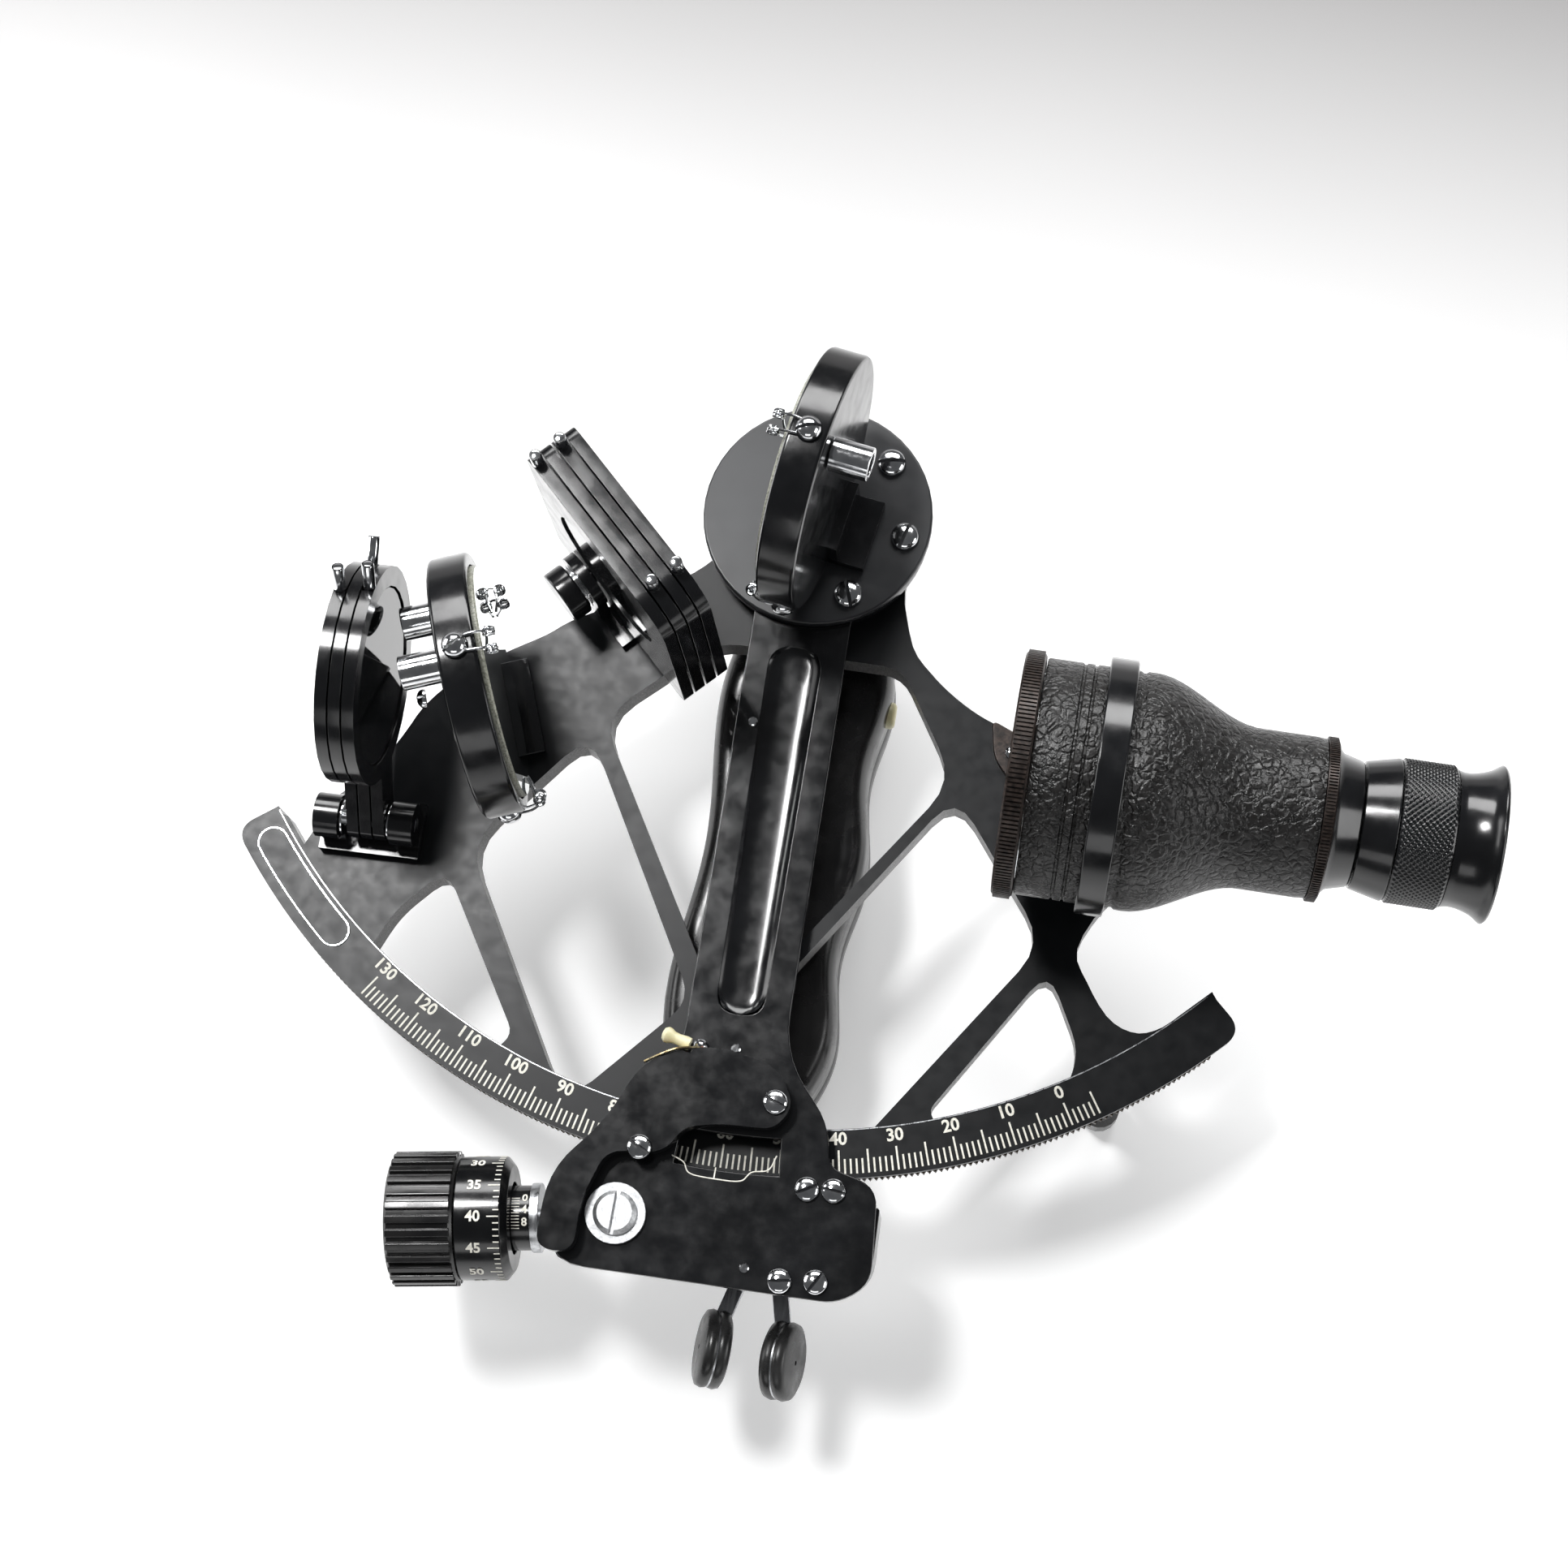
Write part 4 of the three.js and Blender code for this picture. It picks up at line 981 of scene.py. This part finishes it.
# A horizon shade's centre stands REACH and RISE from its shaft, and its pin sticks out of the rim.
REACH, RISE, PLATE_RADIUS, PLATE_PITCH = 28, 30.4, 26, 3.2
for i, pin_turn in enumerate((12, -23, 8)):
    centre = HORIZON_SHAFT @ Vector((REACH, RISE, (i - 1) * PLATE_PITCH))
    heading = math.degrees(math.atan2(RISE, REACH)) + pin_turn
    along = HORIZON_SHAFT.to_3x3() @ flat_direction(heading)
    pin = pin_part(1.42, PLATE_RADIUS + 0.1, PLATE_RADIUS + 6.55)
    make(f"horizon_shade_pin_{i + 1}", pin, LOOK["chrome"], f"horizon_shade_{i + 1}",
         where=placed(centre, along))
for i in range(4):
    foot = INDEX_SHAFT @ Vector((-28.5 if i % 2 else 11.8, 50, i * 3.4 + 1.5))
    make(f"index_shade_pin_{i + 1}", pin_part(1.46, 0.05, 4.85), LOOK["chrome"],
         f"index_shade_{i + 1}", where=placed(foot))



# --------------------------------------------------------------------------------------- handle
HANDLE_TOP, HANDLE_BOTTOM = -22, -139


def handle_edge(x, side, waves, t, inset):
    """A point of one long edge, which waves for the fingers."""
    wave = 1.6 * math.sin(waves * 2 * math.pi * t) - 2.2 * (2 * t - 1) ** 6
    length = HANDLE_TOP - HANDLE_BOTTOM - 2 * inset
    return x - side * inset + side * wave, HANDLE_TOP - inset - t * length


def handle_ring(inset, steps=72):
    outline = [handle_edge(23, 1, 2.5, i / steps, inset) for i in range(steps + 1)]
    outline += [handle_edge(-18, -1, 1.5, 1 - i / steps, inset) for i in range(steps + 1)]
    return outline


def handle_part(levels):
    """Stacked outlines, each an (inset, height), closed at both ends."""
    vertices, faces = [], []
    for inset, height in levels:
        vertices += [Vector((x, y, height)) for x, y in handle_ring(inset)]
    count = len(vertices) // len(levels)
    for level in range(len(levels) - 1):
        for i in range(count):
            j = (i + 1) % count
            low, high = level * count, (level + 1) * count
            faces.append([low + i, low + j, high + j, high + i])
    faces.append(list(range(count))[::-1])
    faces.append([(len(levels) - 1) * count + i for i in range(count)])
    return vertices, faces


upper = [(0.35, -27.8), (0.05, -27.3), (0, -20), (0.25, -17), (0.9, -14.6), (2.2, -12.8),
         (3.8, -12.1), (5.5, -12.02)]
lower = [(5.5, -43.98), (3.8, -43.9), (2.2, -43.2), (0.9, -41.4), (0.25, -39), (0, -36),
         (0.05, -28.7), (0.35, -28.2)]
pillars = [moved(lathe([[0, -13], [5.5, -13], [5.5, -8.3], [0, -8.3]], 48), Matrix.Translation((x, y, 0)))
           for x, y in ((2, -27.5), (-2, -133))]
make("handle_grip_upper", joined(handle_part(upper), *pillars), LOOK["black_plastic"], "frame",
     ("handle_upper_shell",), crease=45)
make("handle_grip_lower", handle_part(lower), LOOK["black_plastic"], "frame",
     ("handle_lower_shell",), crease=45)
button = lathe([[0, 0.1], [4.5, 0.1], [4.5, 1.1], [3.4, 1.2], [3.4, 9.2], [3.15, 9.8], [2.6, 10.15],
                [0, 10.19]], 48)
make("lamp_button_cap", button, LOOK["ivory_plastic"], "lamp_button",
     ("lamp_button",), placed((15.2, -40, -21.2), (1, 0, 0)))


# ------------------------------------------------------------------------------ arm and brackets
ARM = Matrix.Rotation(math.radians(ARM_TURN), 4, "Z")


def channel_part():
    """The smooth hollow down the middle of the arm, over the step it is cut to."""
    vertices, faces = [], []
    rows, columns = 60, 24
    start, length, widest, depth = -33.2, 93.2, 6.5, 1.25
    for i in range(rows + 1):
        t = i / rows
        y = start - length * t
        end = min(min(t, 1 - t) * length / widest, 1)
        half = (widest - 0.75 * t) * math.sqrt(1 - (1 - end) ** 2)
        for j in range(columns + 1):
            u = 2 * j / columns - 1
            hollow = depth * (1 - u ** 4) * min(1, half / 5.5)
            vertices.append(Vector((half * u, y, ARM_TOP + 0.03 - hollow)))
    for i in range(rows):
        for j in range(columns):
            a = i * (columns + 1) + j
            faces.append([a, a + 1, a + columns + 2, a + columns + 1])
    return vertices, faces


make("arm_channel", channel_part(), LOOK["gloss_black"], "index_arm", where=ARM, crease=80)

stop_plate = rounded([(50.3, -43.5, 2), (57.5, -46.4, 2), (62.4, -52.5, 2), (65.4, -60.5, 2),
                      (59.4, -60.8, 2), (52.2, -53.2, 3)], 4)
make("telescope_stop_plate", prism(stop_plate, 0.05, 1.6), LOOK["knurled_ring"], "frame",
     bevel=0.35)
screw("telescope_stop_screw", (56.3, -51.2, 1.6), "frame", 1.7, 1.3, 30)
screw("horizon_rear_screw", (-79.6, -69.6, 40), "frame", 2.3, 2.2, 0, (-0.92, -0.37, 0.2))


# --------------------------------------------------------------------------------------- levers
for side, label in ((-1, "left"), (1, "right")):
    body = f"release_lever_{label}"
    where = placed((16.2 + side * 8.5, -203, -15), (1, 0, side * 0.25))
    puck = ring_of([[0.6, -3.3], [7.6, -3.3], [8.9, -2.7], [9.35, -1.4], [9.1, -0.35], [8.75, 0],
                    [9.1, 0.35], [9.35, 1.4], [8.9, 2.7], [7.6, 3.3], [0.6, 3.3]])
    make(f"release_pad_rubber_{label}", puck, LOOK["rubber"], body,
         (f"release_pad_{label}",), where, crease=60)
    make(f"release_pad_band_{label}", tube(8.6, 8.95, -0.3, 0.3), LOOK["steel"], body,
         where=where)


# ----------------------------------------------------------------------------- stage and camera
# The camera is the one fitted to the photograph's degree marks.
FLOOR_HALF_SIZE = 6.0
FLOOR_GAP = 0.0003
LENS_MM = 63.06
CAMERA_AT = Vector((70.37, -228.61, 649.35))
CAMERA_RIGHT = Vector((0.98364446, 0.1696277, -0.06058076))
CAMERA_DOWN = Vector((0.14922198, -0.95579626, -0.25335017))


def backdrop():
    """A pale floor, bright in front and grey towards the back, as in the photograph: the grey is painted shade for
    light falling off, and the front glows with painted light.
    """
    mesh = bpy.data.meshes.new("floor")
    size = FLOOR_HALF_SIZE
    corners = [(-size, -size, 0), (size, -size, 0), (size, size, 0), (-size, size, 0)]
    mesh.from_pydata(corners, [], [[0, 1, 2, 3]])
    floor = bpy.data.objects.new("floor", mesh)
    floor.location.z = cad_box[0].z - FLOOR_GAP
    bpy.context.scene.collection.objects.link(floor)
    s = Surface("pale_floor", Roughness=0.65, Specular_IOR_Level=0.3)
    near = s.blended(s.noise(3, 2), (0.84, 0.84, 0.84), (0.88, 0.88, 0.88))
    # Painted shade: the floor's colour turns grey towards the back, standing in for the light falling off.
    far_painted_shade = s.blended(s.noise(3, 2), (0.215, 0.21, 0.21), (0.235, 0.23, 0.23))
    split = s.node("SeparateXYZ")
    s.link(s.coordinates.outputs["Object"], split.inputs["Vector"])
    back = s.mapped(split.outputs["Y"], 0.0, 1.0, 0.08, 0.31)
    shade = s.mixed(back, near, far_painted_shade)
    s.link(shade, s.shader.inputs["Base Color"])
    s.link(shade, s.shader.inputs["Emission Color"])
    # Painted light: the floor glows, most in front, to lift the shadows, though it is no lamp.
    painted_glow = s.mapped(split.outputs["Y"], 0.36, 0.05, 0.06, 0.30)
    s.link(painted_glow, s.shader.inputs["Emission Strength"])
    mesh.materials.append(s.material)


def area_light(name, position, target, size, power):
    data = bpy.data.lights.new(name, "AREA")
    data.shape = "RECTANGLE"
    data.size, data.size_y = size
    data.energy = power
    lamp = bpy.data.objects.new(name, data)
    lamp.location = position
    lamp.rotation_mode = "QUATERNION"
    lamp.rotation_quaternion = (Vector(target) - Vector(position)).to_track_quat("-Z", "Y")
    bpy.context.scene.collection.objects.link(lamp)


def studio():
    area_light("key", (-0.50, 0.38, 1.42), (0, 0, 0), (0.26, 0.26), 14)
    area_light("back_softbox", (-0.10, 1.15, 0.95), (0, 0.05, 0.03), (1.5, 0.55), 25)
    area_light("left_softbox", (-1.3, 0.25, 0.5), (0, 0, 0.05), (0.8, 0.6), 8)
    area_light("right_softbox", (1.4, -0.1, 0.6), (0, 0, 0.05), (0.8, 0.6), 6)
    area_light("front_fill", (0.1, -1.5, 0.8), (0, 0, 0), (1.2, 0.5), 3)
    world = bpy.data.worlds.new("studio")
    world.use_nodes = True
    background = world.node_tree.nodes["Background"]
    background.inputs["Color"].default_value = (0.9, 0.92, 0.95, 1)
    background.inputs["Strength"].default_value = 0.10
    bpy.context.scene.world = world
    bpy.context.scene.view_settings.view_transform = "Standard"


def camera():
    data = bpy.data.cameras.new("camera")
    data.sensor_width = 36
    data.lens = LENS_MM
    data.clip_start = 0.01
    data.clip_end = 20
    ahead = CAMERA_RIGHT.cross(CAMERA_DOWN).normalized()
    turn = Matrix((CAMERA_RIGHT, -CAMERA_DOWN, -ahead)).transposed()
    eye = bpy.data.objects.new("camera", data)
    eye.matrix_world = Matrix.Translation(PIVOT + CAMERA_AT * MM) @ turn.to_4x4()
    bpy.context.scene.collection.objects.link(eye)
    bpy.context.scene.camera = eye


backdrop()
studio()
camera()
